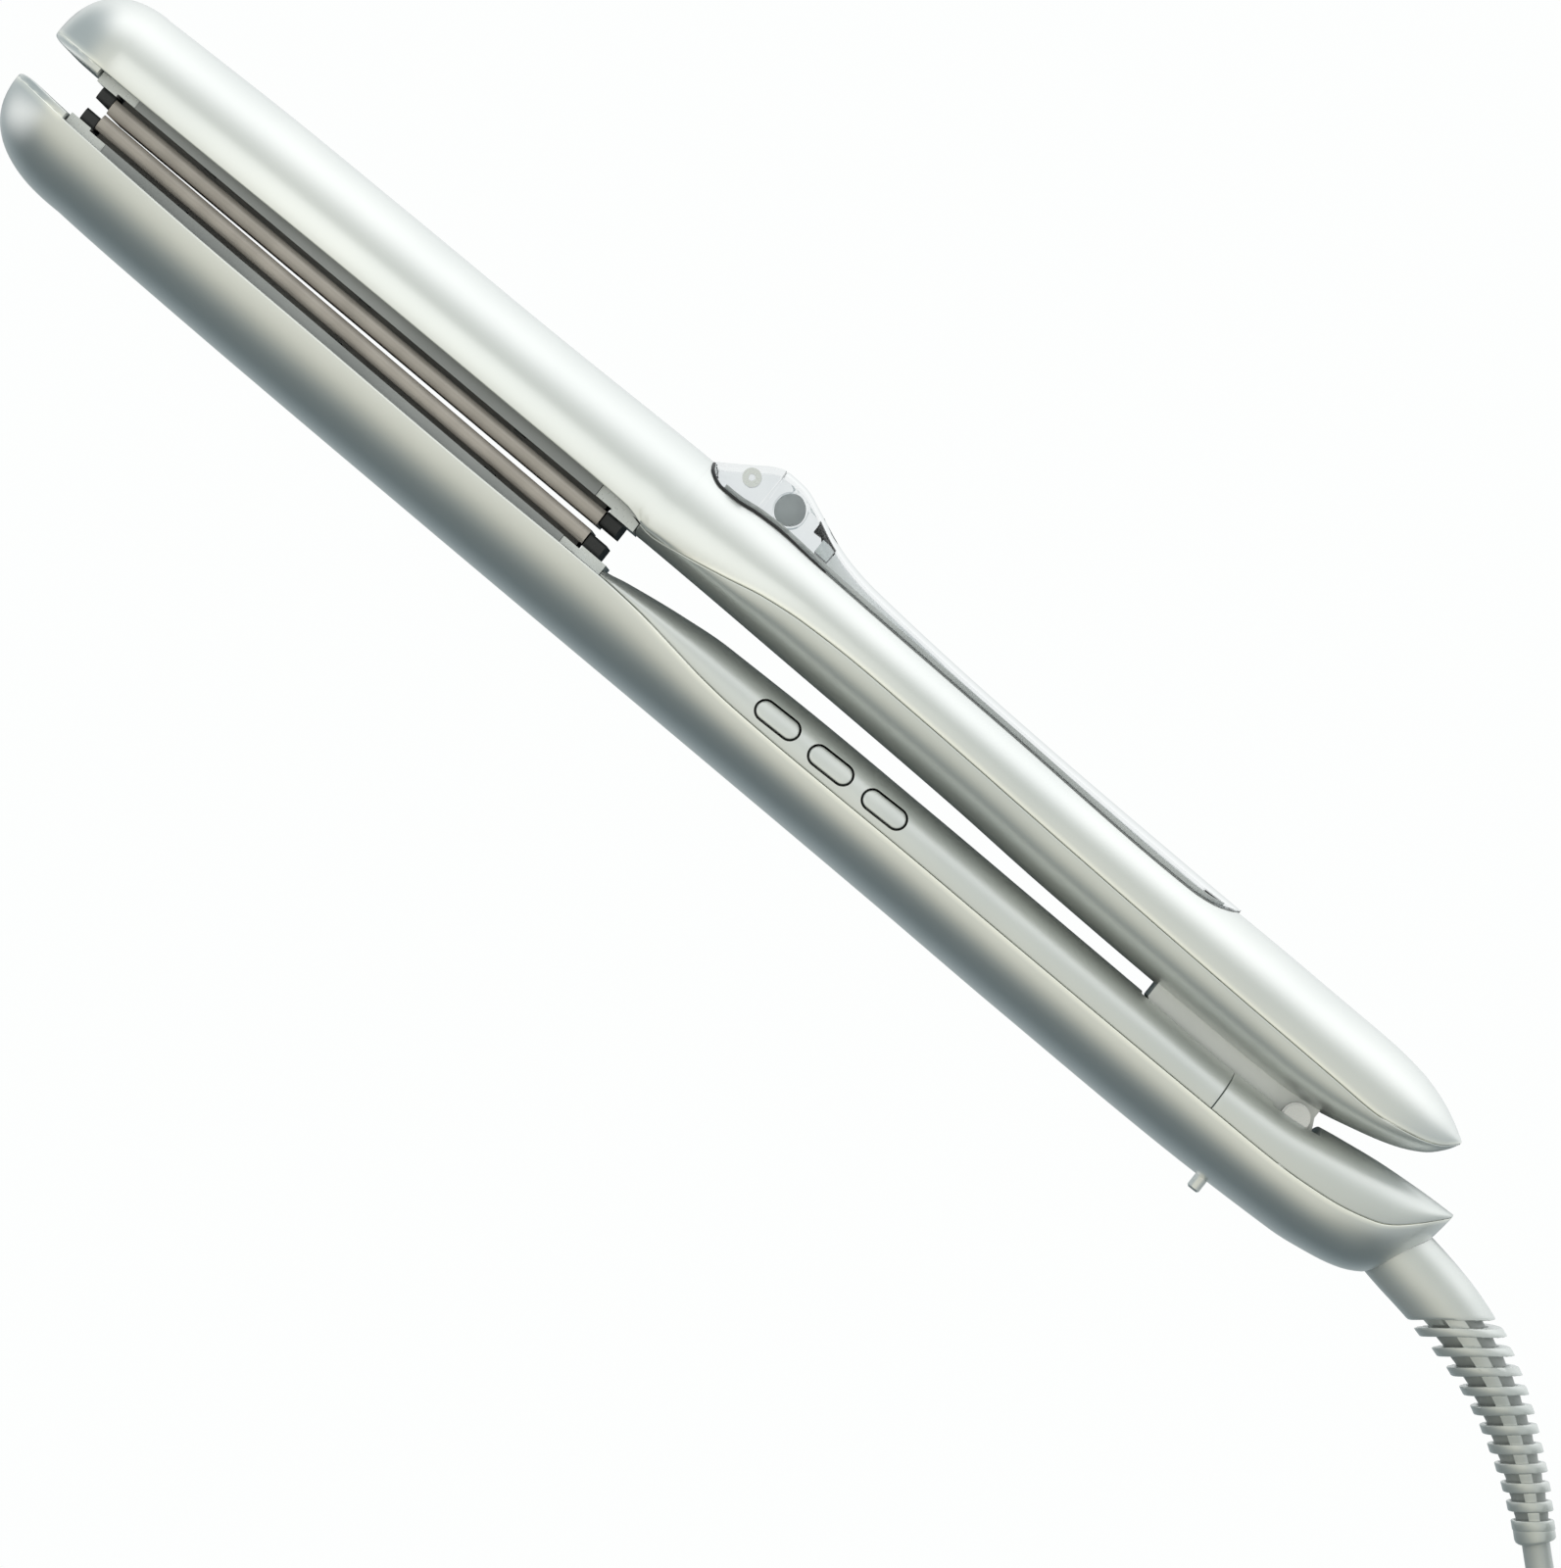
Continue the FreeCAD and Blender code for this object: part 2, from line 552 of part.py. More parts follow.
coil = Part.makeHelix(springPitch, springPitch * springTurns, 2.4)
coil.translate(Vector(hingeX, hingeY, midZ - springPitch * springTurns / 2))
startPoint = coil.Edges[0].valueAt(coil.Edges[0].FirstParameter)
startRun = coil.Edges[0].tangentAt(coil.Edges[0].FirstParameter)
springEnd = Part.Wire(Part.makeCircle(0.4, startPoint, startRun))
save("hinge_spring", Part.Wire(coil).makePipeShell([springEnd], True, True))
bracketScrews = []
for x, z in bossPlaces:
    shank = post(x, z, -20.4, bracketBottom + 1.5, 0.85)
    head = post(x, z, bracketBottom + 1.5, bracketBottom + 2.7, 1.9)
    bracketScrews.append(shank.fuse(head).removeSplitter())
save("bracket_screws", Part.makeCompound(bracketScrews))
lockPin = post(lockX, midZ, -24.4, -11.5, lockRadius).fuse(post(lockX, midZ, -20.2, -19.4, 2.2))
lockTip = Part.makeCylinder(lockRadius, 0.6, Vector(lockX, -25.0, midZ), Vector(0, 1, 0))
lockTip = lockTip.makeChamfer(0.35, [e for e in lockTip.Edges if abs(e.CenterOfMass.y + 25.0) < 0.01])
save("lock_pin", lockPin.fuse(lockTip).removeSplitter())

# --- swivel ---
housing = onSwivel(-16.5, -10.0, 6.3).cut(onSwivel(-20, 0, 3.9)).cut(onSwivel(-14.9, -12.1, 5.3))
halves = [
    housing.common(block(290, 330, -40, 20, -10, midZ)),
    housing.common(block(290, 330, -40, 20, midZ, 60)),
]
save("swivel_housing", Part.makeCompound(halves))
core = onSwivel(-16.0, -8.0, 3.6).fuse(onSwivel(-14.6, -12.4, 5.0)).fuse(onSwivel(-8.0, -6.0, 6.0))
save("swivel_core", core.removeSplitter())

# --- strain relief: a tapered sleeve, rings on a thinner core and an end collar ---
reliefRoute = [
    (317.6, -11.75, 17.0), (325.0, -12.9, 16.8), (333.6, -15.2, 15.6), (341.3, -17.9, 13.4),
    (348.1, -21.1, 10.8), (354.1, -24.8, 8.3), (359.6, -28.6, 6.3), (364.6, -32.6, 4.9),
    (368.5, -36.2, 4.1),
]
ringCount = 11
reliefLine = Part.BSplineCurve()
reliefLine.interpolate([Vector(*point) for point in reliefRoute])
reliefEdge = reliefLine.toShape()
reliefLength = reliefEdge.Length


def reliefPlace(distance):
    """Point and direction at a distance along the relief."""
    at = reliefLine.parameterAtDistance(distance, reliefLine.FirstParameter)
    run = reliefLine.tangent(at)[0]
    return reliefLine.value(at), run


def reliefLoft(places):
    rings = []
    for distance, radius in places:
        point, run = reliefPlace(distance)
        rings.append(Part.Wire(Part.makeCircle(radius, point, run)))
    return Part.makeLoft(rings, True, False)


sleeveEnd = 13.8
ringFacing = Vector(math.cos(math.radians(-51.72)), math.sin(math.radians(-51.72)), 0)
ringThick = 1.6
ringPlaces = []  # distance along the relief and radius of each ring
ringAt = 16.6
for k in range(ringCount):
    ringPlaces.append((ringAt, 7.3 - 3.3 * (k / (ringCount - 1)) ** 0.72))
    ringAt += 4.35 - 0.085 * k


def ringSlab(distance, thick):
    """A wide flat disc across the relief that faces the way the rings do."""
    point = reliefPlace(distance)[0]
    return Part.makeCylinder(22.0, thick, point - ringFacing * ringThick / 2, ringFacing)


sleeve = reliefLoft([(0.0, 6.4), (5.0, 6.6), (10.0, 7.0), (sleeveEnd, 7.2), (sleeveEnd + 9, 7.2)])
sleeve = sleeve.cut(ringSlab(sleeveEnd + ringThick / 2, 60.0))
relief = onSwivel(-6.0, 0.4, sleeveRadius - 0.2).fuse(sleeve)
relief = relief.fuse(reliefLoft([(sleeveEnd - 6, 4.8), (25, 4.3), (40, 3.6), (reliefLength - 0.1, 3.1)]))
ringForm = reliefLoft([(9.0, 7.35)] + ringPlaces + [(reliefLength - 0.2, 3.9)])
for distance, radius in ringPlaces:
    relief = relief.fuse(ringForm.common(ringSlab(distance, ringThick)))
collarStart, collarRun = reliefPlace(reliefLength - 2.4)
relief = relief.fuse(Part.makeCylinder(3.7, 2.4, collarStart, collarRun))
save("strain_relief", relief)
print(f"relief {reliefLength:.1f} long, last ring at {ringPlaces[-1][0]:.1f}, {relief.isValid()}")

# --- cord ---
leaving, leavingRun = reliefPlace(reliefLength)
runRoute = [
    (leaving.x, leaving.y, leaving.z), (376.5, -43.7, 3.1), (386.0, -50.2, 2.5),
    (397.5, -55.0, 2.5), (410.5, -57.2, 2.9), (420.0, -57.1, 3.3),
]
tailRoute = [
    (430.0, -57.0, 18.4), (441.0, -56.5, 16.6), (451.0, -55.6, 13.2), (461.0, -54.6, 9.8),
    (471.0, -53.9, 7.6), (481.0, -53.6, 7.0),
]


def cordTube(route, name):
    """A round tube on straight runs joined by tangent arcs."""
    points = [Vector(*point) for point in route]
    edges = []
    start = points[0]
    radii = []
    for before, corner, after in zip(points, points[1:], points[2:]):
        back = before - corner
        ahead = after - corner
        trim = 0.45 * min(back.Length, ahead.Length)
        turn = math.pi - back.getAngle(ahead)
        radii.append(round(trim / math.tan(turn / 2), 1))
        back.normalize()
        ahead.normalize()
        arcStart = corner + back * trim
        arcEnd = corner + ahead * trim
        bisector = back + ahead
        bisector.normalize()
        toCentre = trim / math.cos(back.getAngle(ahead) / 2)
        sag = corner + bisector * (toCentre - math.sqrt(toCentre**2 - trim**2))
        edges.append(Part.makeLine(start, arcStart))
        edges.append(Part.Arc(arcStart, sag, arcEnd).toShape())
        start = arcEnd
    edges.append(Part.makeLine(start, points[-1]))
    path = Part.Wire(edges)
    mouth = Part.Wire(Part.makeCircle(cordDiameter / 2, points[0], points[1] - points[0]))
    tube = path.makePipeShell([mouth], True, True)
    want = math.pi * (cordDiameter / 2) ** 2 * path.Length
    print(f"{name}: length {path.Length:.1f}, volume ratio {tube.Volume / want:.3f}, radii {radii}")
    save(name, tube)


cordTube(runRoute, "cord_run")
cordTube(tailRoute, "cord_tail")
layerRise = 5.05
coilHalf = turnPitch * coilTurnsPerLayer / 2 + cordDiameter / 2 + 0.3
coilHeight = cordDiameter + layerRise * (coilLayers - 1) + 0.1
coilBase = Vector(coilX, coilY, coilLift)
coilSolid = Part.makeCylinder(coilTurnRadius + coilHalf, coilHeight, coilBase)
coilSolid = coilSolid.cut(Part.makeCylinder(coilTurnRadius - coilHalf, coilHeight, coilBase))
save("cord_coil", coilSolid)
tieWidth = 10.0
tieThick = 0.7
tieInner = coilY + math.sqrt((coilTurnRadius - coilHalf) ** 2 - (tieWidth / 2) ** 2) - 0.15
tieOuter = coilY + coilTurnRadius + coilHalf + 0.15
tieTop = coilLift + coilHeight + 0.1
tie = block(
    coilX - tieWidth / 2,
    coilX + tieWidth / 2,
    tieInner - tieThick,
    tieOuter + tieThick,
    0,
    tieTop + tieThick,
)
tieHole = block(coilX - tieWidth, coilX + tieWidth, tieInner, tieOuter, coilLift, tieTop)
save("cord_tie", tie.cut(tieHole))

# --- mains plug lying beside the coil ---
plugX, plugY, plugZ = 481.0, -53.6, 7.0
pinSpacing = 18.6
pinLength = 19.0
plugFace = 38.0


def roundedSection(x, width, height):
    """Rounded rectangle across the plug at x."""
    points = []
    for k in range(16):
        angle = 2 * math.pi * (k + 0.5) / 16
        y = plugY + width / 2 * bulged(math.cos(angle), 4.0)
        z = plugZ + height / 2 * bulged(math.sin(angle), 4.0)
        points.append(Vector(x, y, z))
    curve = Part.BSplineCurve()
    curve.interpolate(Points=points, PeriodicFlag=True)
    return Part.Wire([curve.toShape()])


plugSections = [
    (0, 7.5, 7.0), (10, 9.5, 8.6), (16, 15, 10.8), (22, 25, 12.6), (29, 33, 13.3), (plugFace, 35, 13.6),
]
plug = Part.makeLoft([roundedSection(plugX + x, w, h) for x, w, h in plugSections], True, False)
save("plug_body", plug)
pins = []
for side in (-1, 1):
    base = Vector(plugX + plugFace, plugY + side * pinSpacing / 2, plugZ)
    pins.append(Part.makeCylinder(2.0, pinLength, base, Vector(1, 0, 0)))
save("plug_pins", Part.makeCompound(pins))

box = FreeCAD.BoundBox()
for node, shape in madeSolids.items():
    if node not in cordNodes:
        box.add(shape.BoundBox)
print(f"{len(madeSolids)} pieces; box {box}")
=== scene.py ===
import math

import bmesh
import bpy
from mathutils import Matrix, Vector


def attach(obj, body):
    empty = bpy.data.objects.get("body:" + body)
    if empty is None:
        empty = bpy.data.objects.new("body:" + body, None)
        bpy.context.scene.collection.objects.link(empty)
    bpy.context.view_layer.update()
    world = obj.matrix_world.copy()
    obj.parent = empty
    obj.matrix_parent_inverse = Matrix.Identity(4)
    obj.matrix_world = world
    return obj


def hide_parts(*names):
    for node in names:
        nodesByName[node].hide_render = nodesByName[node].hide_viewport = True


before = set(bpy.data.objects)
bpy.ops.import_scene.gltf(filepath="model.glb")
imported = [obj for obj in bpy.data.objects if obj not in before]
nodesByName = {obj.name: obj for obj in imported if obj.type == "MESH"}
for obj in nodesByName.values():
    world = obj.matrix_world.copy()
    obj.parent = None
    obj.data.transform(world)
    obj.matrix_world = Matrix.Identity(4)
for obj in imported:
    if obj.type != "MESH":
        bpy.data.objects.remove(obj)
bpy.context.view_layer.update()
print("frame loaded:", len(nodesByName), "cad nodes")

# Everything below is drawn in millimetres from the front tips, and saved in metres.
millimetre = 0.001
originX = 160.0
originY = 2.35
midZ = 17.0


def atRow(x, y, z):
    return Vector(((x - originX) * millimetre, (y - originY) * millimetre, z * millimetre))


# Camera: straight down on the iron, which lies on its side.
shot = {"x": 0.0210, "y": -0.0163, "height": 1.217, "turn": 38.28, "lens": 157.6}
cameraData = bpy.data.cameras.new("shotCamera")
cameraData.lens = shot["lens"]
camera = bpy.data.objects.new("shotCamera", cameraData)
camera.location = (shot["x"], shot["y"], shot["height"])
camera.rotation_euler = (0, 0, math.radians(shot["turn"]))
bpy.context.scene.collection.objects.link(camera)
bpy.context.scene.camera = camera
print("camera set")


# Node maths.
class Link:
    def __init__(self, nodes, socket):
        self.nodes = nodes
        self.socket = socket

    def _pair(self, operation, first, second):
        return self.nodes.add("ShaderNodeMath", {"operation": operation}, {0: first, 1: second})

    def __add__(self, other):
        return self._pair("ADD", self, other)

    __radd__ = __add__

    def __sub__(self, other):
        return self._pair("SUBTRACT", self, other)

    def __rsub__(self, other):
        return self._pair("SUBTRACT", other, self)

    def __mul__(self, other):
        return self._pair("MULTIPLY", self, other)

    __rmul__ = __mul__

    def __truediv__(self, other):
        return self._pair("DIVIDE", self, other)

    def __rtruediv__(self, other):
        return self._pair("DIVIDE", other, self)

    def __neg__(self):
        return self * -1.0

    def __abs__(self):
        return self._pair("ABSOLUTE", self, 0.0)

    def between(self, low, high):
        values = {"Value": self, "From Min": low, "From Max": high}
        return self.nodes.add("ShaderNodeMapRange", {"interpolation_type": "SMOOTHSTEP"}, values)


class Nodes:
    def __init__(self, tree):
        self.tree = tree
        self.tree.nodes.clear()

    def add(self, kind, settings=None, values=None, output=0):
        node = self.tree.nodes.new(kind)
        for key, setting in (settings or {}).items():
            if key == "stops":
                elements = node.color_ramp.elements
                elements.remove(elements[1])
                for k, (position, colour) in enumerate(setting):
                    element = elements.new(position) if k else elements[0]
                    element.position = position
                    element.color = (*colour, 1.0)
            else:
                setattr(node, key, setting)
        for key, value in (values or {}).items():
            if isinstance(value, Link):
                self.tree.links.new(value.socket, node.inputs[key])
            elif isinstance(value, tuple) and len(value) == 3 and node.inputs[key].type == "RGBA":
                node.inputs[key].default_value = (*value, 1.0)
            else:
                node.inputs[key].default_value = value
        return Link(self, node.outputs[output]) if len(node.outputs) else node

    def blend(self, factor, first, second):
        settings = {"data_type": "RGBA"}
        return self.add("ShaderNodeMix", settings, {0: factor, 6: first, 7: second}, 2)


def newMaterial(name):
    material = bpy.data.materials.new(name)
    material.use_nodes = True
    return material, Nodes(material.node_tree)


def finishWith(nodes, surface):
    nodes.add("ShaderNodeOutputMaterial", {}, {"Surface": surface})


# Cord: one smooth line from the relief to the plug, wound into a neat coil on the way.
cordLook = {
    "diameter": 5.0,
    "length": 1.92,
    "turnsPerLayer": 2.5,
    "layers": 4,
    "outerTurn": 35.2,
    "innerTurn": 22.5,
    "coilX": 425.0,
    "coilY": -22.0,
    "coilFloor": 3.3,
    "layerRise": 5.05,
    "climb": 0.13,  # share of a layer in which the cord climbs to the next
    "pointsPerTurn": 16,
}
reliefRoute = [
    (317.6, -11.75, 17.0), (325.0, -12.9, 16.8), (333.6, -15.2, 15.6), (341.3, -17.9, 13.4),
    (348.1, -21.1, 10.8), (354.1, -24.8, 8.3), (359.6, -28.6, 6.3), (364.6, -32.6, 4.9),
    (368.5, -36.2, 4.1),
]
runRoute = [
    reliefRoute[-1], (376.5, -43.7, 3.1), (386.0, -50.2, 2.5), (397.5, -55.0, 2.5),
    (410.5, -57.2, 2.9),
]
tailRoute = [
    (434.0, -57.0, 18.4), (441.0, -56.5, 16.6), (451.0, -55.6, 13.2), (461.0, -54.6, 9.8),
    (471.0, -53.9, 7.6), (481.0, -53.6, 7.0),
]


def coilRoute(look):
    points = []
    perLayer = int(look["turnsPerLayer"] * look["pointsPerTurn"])
    for layer in range(look["layers"]):
        inward = layer % 2 == 0
        for k in range(perLayer):
            share = k / perLayer
            spiral = min(share / (1 - look["climb"]), 1.0)
            if not inward:
                spiral = 1 - spiral
            radius = look["outerTurn"] + (look["innerTurn"] - look["outerTurn"]) * spiral
            lift = max(share - 1 + look["climb"], 0) / look["climb"]
            if layer == look["layers"] - 1:
                lift = 0
            angle = -math.pi / 2 + 2 * math.pi * look["turnsPerLayer"] * (layer + share)
            height = look["coilFloor"] + look["layerRise"] * (layer + lift)
            points.append(
                (
                    look["coilX"] + radius * math.cos(angle),
                    look["coilY"] + radius * math.sin(angle),
                    height,
                )
            )
    points.append((look["coilX"], look["coilY"] - look["outerTurn"], height))
    return points


def nurbsLine(name, route):
    data = bpy.data.curves.new(name, "CURVE")
    data.dimensions = "3D"
    spline = data.splines.new("NURBS")
    spline.points.add(len(route) - 1)
    for point, (x, y, z) in zip(spline.points, route):
        point.co = (*atRow(x, y, z), 1.0)
    spline.order_u = 3
    spline.use_endpoint_u = True
    spline.resolution_u = 8
    line = bpy.data.objects.new(name, data)
    bpy.context.scene.collection.objects.link(line)
    return line


def grained(name, look):
    material, nodes = newMaterial(name)
    place = nodes.add("ShaderNodeTexCoord", {}, {}, "Object")
    size = {"Vector": place, "Scale": look["grain"], "Detail": 3.0}
    grain = nodes.add("ShaderNodeTexNoise", {}, size)
    size = {"Vector": place, "Scale": look["cloud"], "Detail": 2.0}
    cloud = nodes.add("ShaderNodeTexNoise", {}, size)
    shade = nodes.blend(cloud.between(0.3, 0.7), look["dark"], look["light"])
    # Along the seams the base colour turns to the edge colour: a painted highlight.
    if "edge" in look:
        beside = nodes.add("ShaderNodeAttribute", {"attribute_name": "seamPaintedHighlight"}, {}, "Fac")
        shade = nodes.blend(beside, shade, look["edge"])
    values = {"Strength": look["bump"], "Distance": look["depth"], "Height": grain}
    height = nodes.add("ShaderNodeBump", {}, values)
    values = {
        "Base Color": shade,
        "Metallic": look["metal"],
        "Roughness": look["rough"] + look["uneven"] * (grain - 0.5),
        "IOR": look.get("ior", 1.5),
        "Coat Weight": look.get("coat", 0.0),
        "Coat Roughness": look.get("coatRough", 0.05),
        "Normal": height,
    }
    # The same seam mask makes the surface glow faintly: painted light.
    if "edge" in look:
        values["Emission Color"] = nodes.blend(beside, (0.0, 0.0, 0.0), look["edgeGlow"])
        values["Emission Strength"] = 1.0
    finishWith(nodes, nodes.add("ShaderNodeBsdfPrincipled", {}, values))
    return material


def finishAndShadeLook(dark, light, metal, rough, **more):
    look = {"dark": dark, "light": light, "metal": metal, "rough": rough}
    look.update({"grain": 1500.0, "cloud": 60.0, "bump": 0.05, "depth": 0.0002, "uneven": 0.06})
    look.update(more)
    return look


# Real finishes, and the painted shades and highlight marked below.
finishesAndShades = {
    # The shell's edge colour and glow paint a highlight along the seams.
    "pearlShell": finishAndShadeLook(
        (0.81, 0.83, 0.815), (0.85, 0.865, 0.845), 0.85, 0.29, coat=0.3, coatRough=0.14,
        grain=900.0, cloud=25.0, bump=0.0, uneven=0.01, edge=(1.0, 1.0, 0.94), edgeGlow=(0.13, 0.13, 0.105),
    ),
    "pearlCover": finishAndShadeLook(
        (0.74, 0.765, 0.75), (0.79, 0.81, 0.785), 0.8, 0.42, coat=0.15, coatRough=0.3,
        grain=900.0, cloud=25.0, bump=0.0, uneven=0.01,
    ),
    "buttonPearl": finishAndShadeLook(
        (0.75, 0.775, 0.76), (0.8, 0.82, 0.79), 0.75, 0.4, coat=0.15, coatRough=0.3,
        grain=900.0, bump=0.0, uneven=0.01,
    ),
    "palePlastic": finishAndShadeLook((0.74, 0.77, 0.77), (0.83, 0.855, 0.85), 0.2, 0.28, coat=0.3),
    "carrierPlastic": finishAndShadeLook((0.36, 0.375, 0.378), (0.43, 0.445, 0.448), 0.1, 0.42),
    "plateCeramic": finishAndShadeLook(
        (0.46, 0.42, 0.385), (0.54, 0.495, 0.455), 0.25, 0.34, grain=2600.0, cloud=120.0,
        bump=0.05, uneven=0.1,
    ),
    "neckPlastic": finishAndShadeLook((0.86, 0.88, 0.87), (0.93, 0.94, 0.93), 0.0, 0.36, coat=0.2),
    "linerPale": finishAndShadeLook((0.93, 0.94, 0.94), (0.97, 0.98, 0.98), 0.0, 0.5),
    "frostedTank": finishAndShadeLook((0.62, 0.64, 0.645), (0.69, 0.71, 0.715), 0.0, 0.5, bump=0.0),
    # Paler grey for the back of the tank's gap bead: painted shade.
    "gapShadePale": finishAndShadeLook((0.22, 0.23, 0.235), (0.28, 0.29, 0.295), 0.0, 0.5, bump=0.0),
    "slotShade": finishAndShadeLook((0.02, 0.022, 0.022), (0.035, 0.038, 0.038), 0.0, 0.7),
    "heaterCeramic": finishAndShadeLook((0.26, 0.255, 0.25), (0.33, 0.325, 0.32), 0.0, 0.6),
    "padRubber": finishAndShadeLook((0.012, 0.013, 0.014), (0.03, 0.032, 0.034), 0.0, 0.5, bump=0.15),
    "hingeSteel": finishAndShadeLook((0.62, 0.63, 0.64), (0.72, 0.73, 0.74), 1.0, 0.28),
    "bushBrass": finishAndShadeLook((0.55, 0.42, 0.2), (0.68, 0.54, 0.3), 1.0, 0.3),
    "chamberMetal": finishAndShadeLook((0.38, 0.39, 0.4), (0.5, 0.51, 0.52), 1.0, 0.45, bump=0.2),
    "tubeSilicone": finishAndShadeLook((0.6, 0.6, 0.56), (0.72, 0.72, 0.68), 0.0, 0.4),
    "boardGreen": finishAndShadeLook((0.02, 0.12, 0.06), (0.03, 0.17, 0.09), 0.0, 0.35, coat=0.4),
    "reliefGrey": finishAndShadeLook(
        (0.70, 0.73, 0.715), (0.77, 0.79, 0.775), 0.55, 0.27, coat=0.25, bump=0.0, uneven=0.01,
    ),
    # Darker grey for the relief's core between the rings: painted shade.
    "reliefPaintedShade": finishAndShadeLook((0.34, 0.36, 0.355), (0.42, 0.44, 0.43), 0.3, 0.4, bump=0.0),
    "cordGrey": finishAndShadeLook((0.56, 0.59, 0.585), (0.64, 0.67, 0.66), 0.35, 0.34, bump=0.0, uneven=0.02),
    "tieBlack": finishAndShadeLook((0.012, 0.012, 0.013), (0.03, 0.03, 0.03), 0.0, 0.8, bump=0.5),
    # Near-black for the bead along the tank's gap: painted shade.
    "sealRubber": finishAndShadeLook((0.01, 0.011, 0.012), (0.025, 0.026, 0.028), 0.0, 0.45),
    "valveDark": finishAndShadeLook((0.008, 0.009, 0.01), (0.02, 0.022, 0.024), 0.0, 0.35),
}
materials = {name: grained(name, look) for name, look in finishesAndShades.items()}
print("materials made:", len(materials))

cordPoints = runRoute + coilRoute(cordLook) + tailRoute
cord = nurbsLine("mainsCord", cordPoints)
cord.data.bevel_depth = cordLook["diameter"] / 2 * millimetre
cord.data.bevel_resolution = 5
cord.data.use_fill_caps = True
cord.data.materials.append(materials["cordGrey"])
print("cord laid:", len(cordPoints), "points")


# Outlines of the two arms, heights along the length.
upperTop = [
    (0.75, 12.2), (1.4, 16.4), (2.6, 19.4), (4.4, 21.4), (7.5, 23.2), (14.1, 24.6), (37.0, 24.7),
    (67.7, 24.2), (103.5, 23.4), (134.3, 23.1), (150.0, 22.5), (172.0, 21.3), (206.2, 19.6),
    (245.0, 18.2), (265.5, 17.8), (280.9, 17.3), (292.4, 16.9), (299.9, 16.1), (306.1, 14.4),
    (310.2, 12.5), (313.2, 10.7),
]
upperBottom = [
    (0.75, 10.4), (6.0, 8.0), (20.0, 6.6), (60.0, 5.7), (100.0, 4.9), (134.1, 4.5), (147.5, 4.1),
    (162.7, 3.5), (206.2, 1.7), (227.3, 0.4), (254.0, -0.7), (280.9, -1.4), (288.5, -0.9),
    (296.2, 0.6), (303.9, 2.7), (309.0, 5.2), (311.8, 8.0), (313.2, 10.3),
]
upperWide = [
    (0.75, 10.8), (19.5, 10.0), (67.7, 9.1), (103.5, 8.2), (134.3, 7.2), (151.3, 8.3), (166.7, 10.1),
    (193.4, 9.8), (227.3, 8.05), (265.5, 6.2), (288.5, 5.3), (296.2, 5.3), (303.9, 6.4),
    (309.0, 8.0), (313.2, 10.5),
]
upperSeam = [
    (-8.0, 11.3), (1.5, 10.8), (19.5, 10.0), (67.7, 9.1), (103.5, 8.2), (130.0, 7.3), (136.8, 5.7),
    (142.9, 6.5), (151.3, 8.05), (159.0, 9.6), (166.7, 10.3), (174.2, 10.45), (193.4, 9.8),
    (227.3, 8.05), (265.5, 6.2), (288.5, 5.3), (296.2, 5.0), (303.9, 6.0), (309.0, 7.4),
    (313.2, 10.4), (318.0, 15.0),
]
lowerTop = [
    (0.0, 0.9), (6.5, 2.8), (20.0, 3.2), (60.0, 1.6), (103.5, -0.2), (124.0, -2.4), (133.8, -3.8),
    (138.3, -3.0), (149.8, -1.5), (159.0, -0.8), (170.4, -0.8), (206.2, -1.6), (227.3, -2.3),
    (254.0, -3.2), (273.2, -3.9), (284.7, -3.6), (296.2, -2.0), (303.9, -1.0), (309.0, -0.6),
    (315.0, -0.3), (320.0, -0.2),
]
lowerBottom = [
    (0.0, -1.2), (0.7, -4.1), (2.7, -7.5), (5.7, -10.3), (11.1, -12.4), (18.0, -13.5),
    (44.7, -15.0), (103.5, -17.1), (162.7, -18.9), (206.2, -20.3), (235.0, -21.4), (277.0, -22.4),
    (296.2, -22.1), (303.9, -21.2), (309.0, -20.1), (313.9, -17.6), (317.4, -12.0),
    (319.2, -6.5), (320.0, -1.0),
]
lowerSeam = [
    (-8.0, 1.0), (0.0, 0.6), (14.1, -0.5), (44.7, -2.2), (67.7, -3.0), (103.5, -4.3), (133.8, -5.0),
    (142.9, -5.65), (151.3, -6.85), (159.0, -8.0), (166.7, -8.7), (178.2, -9.2), (206.2, -9.9),
    (227.3, -10.6), (274.3, -11.9), (288.5, -12.2), (298.4, -11.65), (309.0, -9.5),
    (320.0, -0.6), (327.0, 6.0),
]
tankTop = [
    (137.2, 23.2), (139.9, 24.9), (143.3, 27.2), (145.9, 28.9), (148.3, 29.7), (152.1, 29.5),
    (157.4, 27.6), (162.7, 25.3), (167.4, 23.9), (172.8, 23.0), (206.2, 20.5), (245.3, 18.9),
    (258.2, 18.5),
]
tankEdge = [
    (137.0, 23.4), (138.3, 21.2), (141.3, 19.9), (144.4, 19.8), (149.0, 20.3), (152.8, 20.4),
    (162.7, 19.7), (206.2, 17.6), (248.7, 15.7), (252.6, 16.1), (255.6, 17.0), (258.2, 18.3),
]

casing = {
    "wall": 1.8,
    "lip": 0.22,  # rounding along every seam
    "gap": 0.1,
    "spans": 36,  # around half a section
    "lipSpans": 4,
    "nose": 14.0,
    "tail": 42.0,
    "solidNose": 12.6,
    "solidTail": 4.6,
    "innerPower": 2.6,
    "outerPower": 2.2,
    "underNose": 1.3,  # how far the noses' inner faces stand proud of the seam
    "ease": 1.35,
    "edgeLight": 1.15,  # width of the painted highlight beside a seam
    "innerReach": 0.9,  # farthest the inner skin's start may turn from the widest line
}


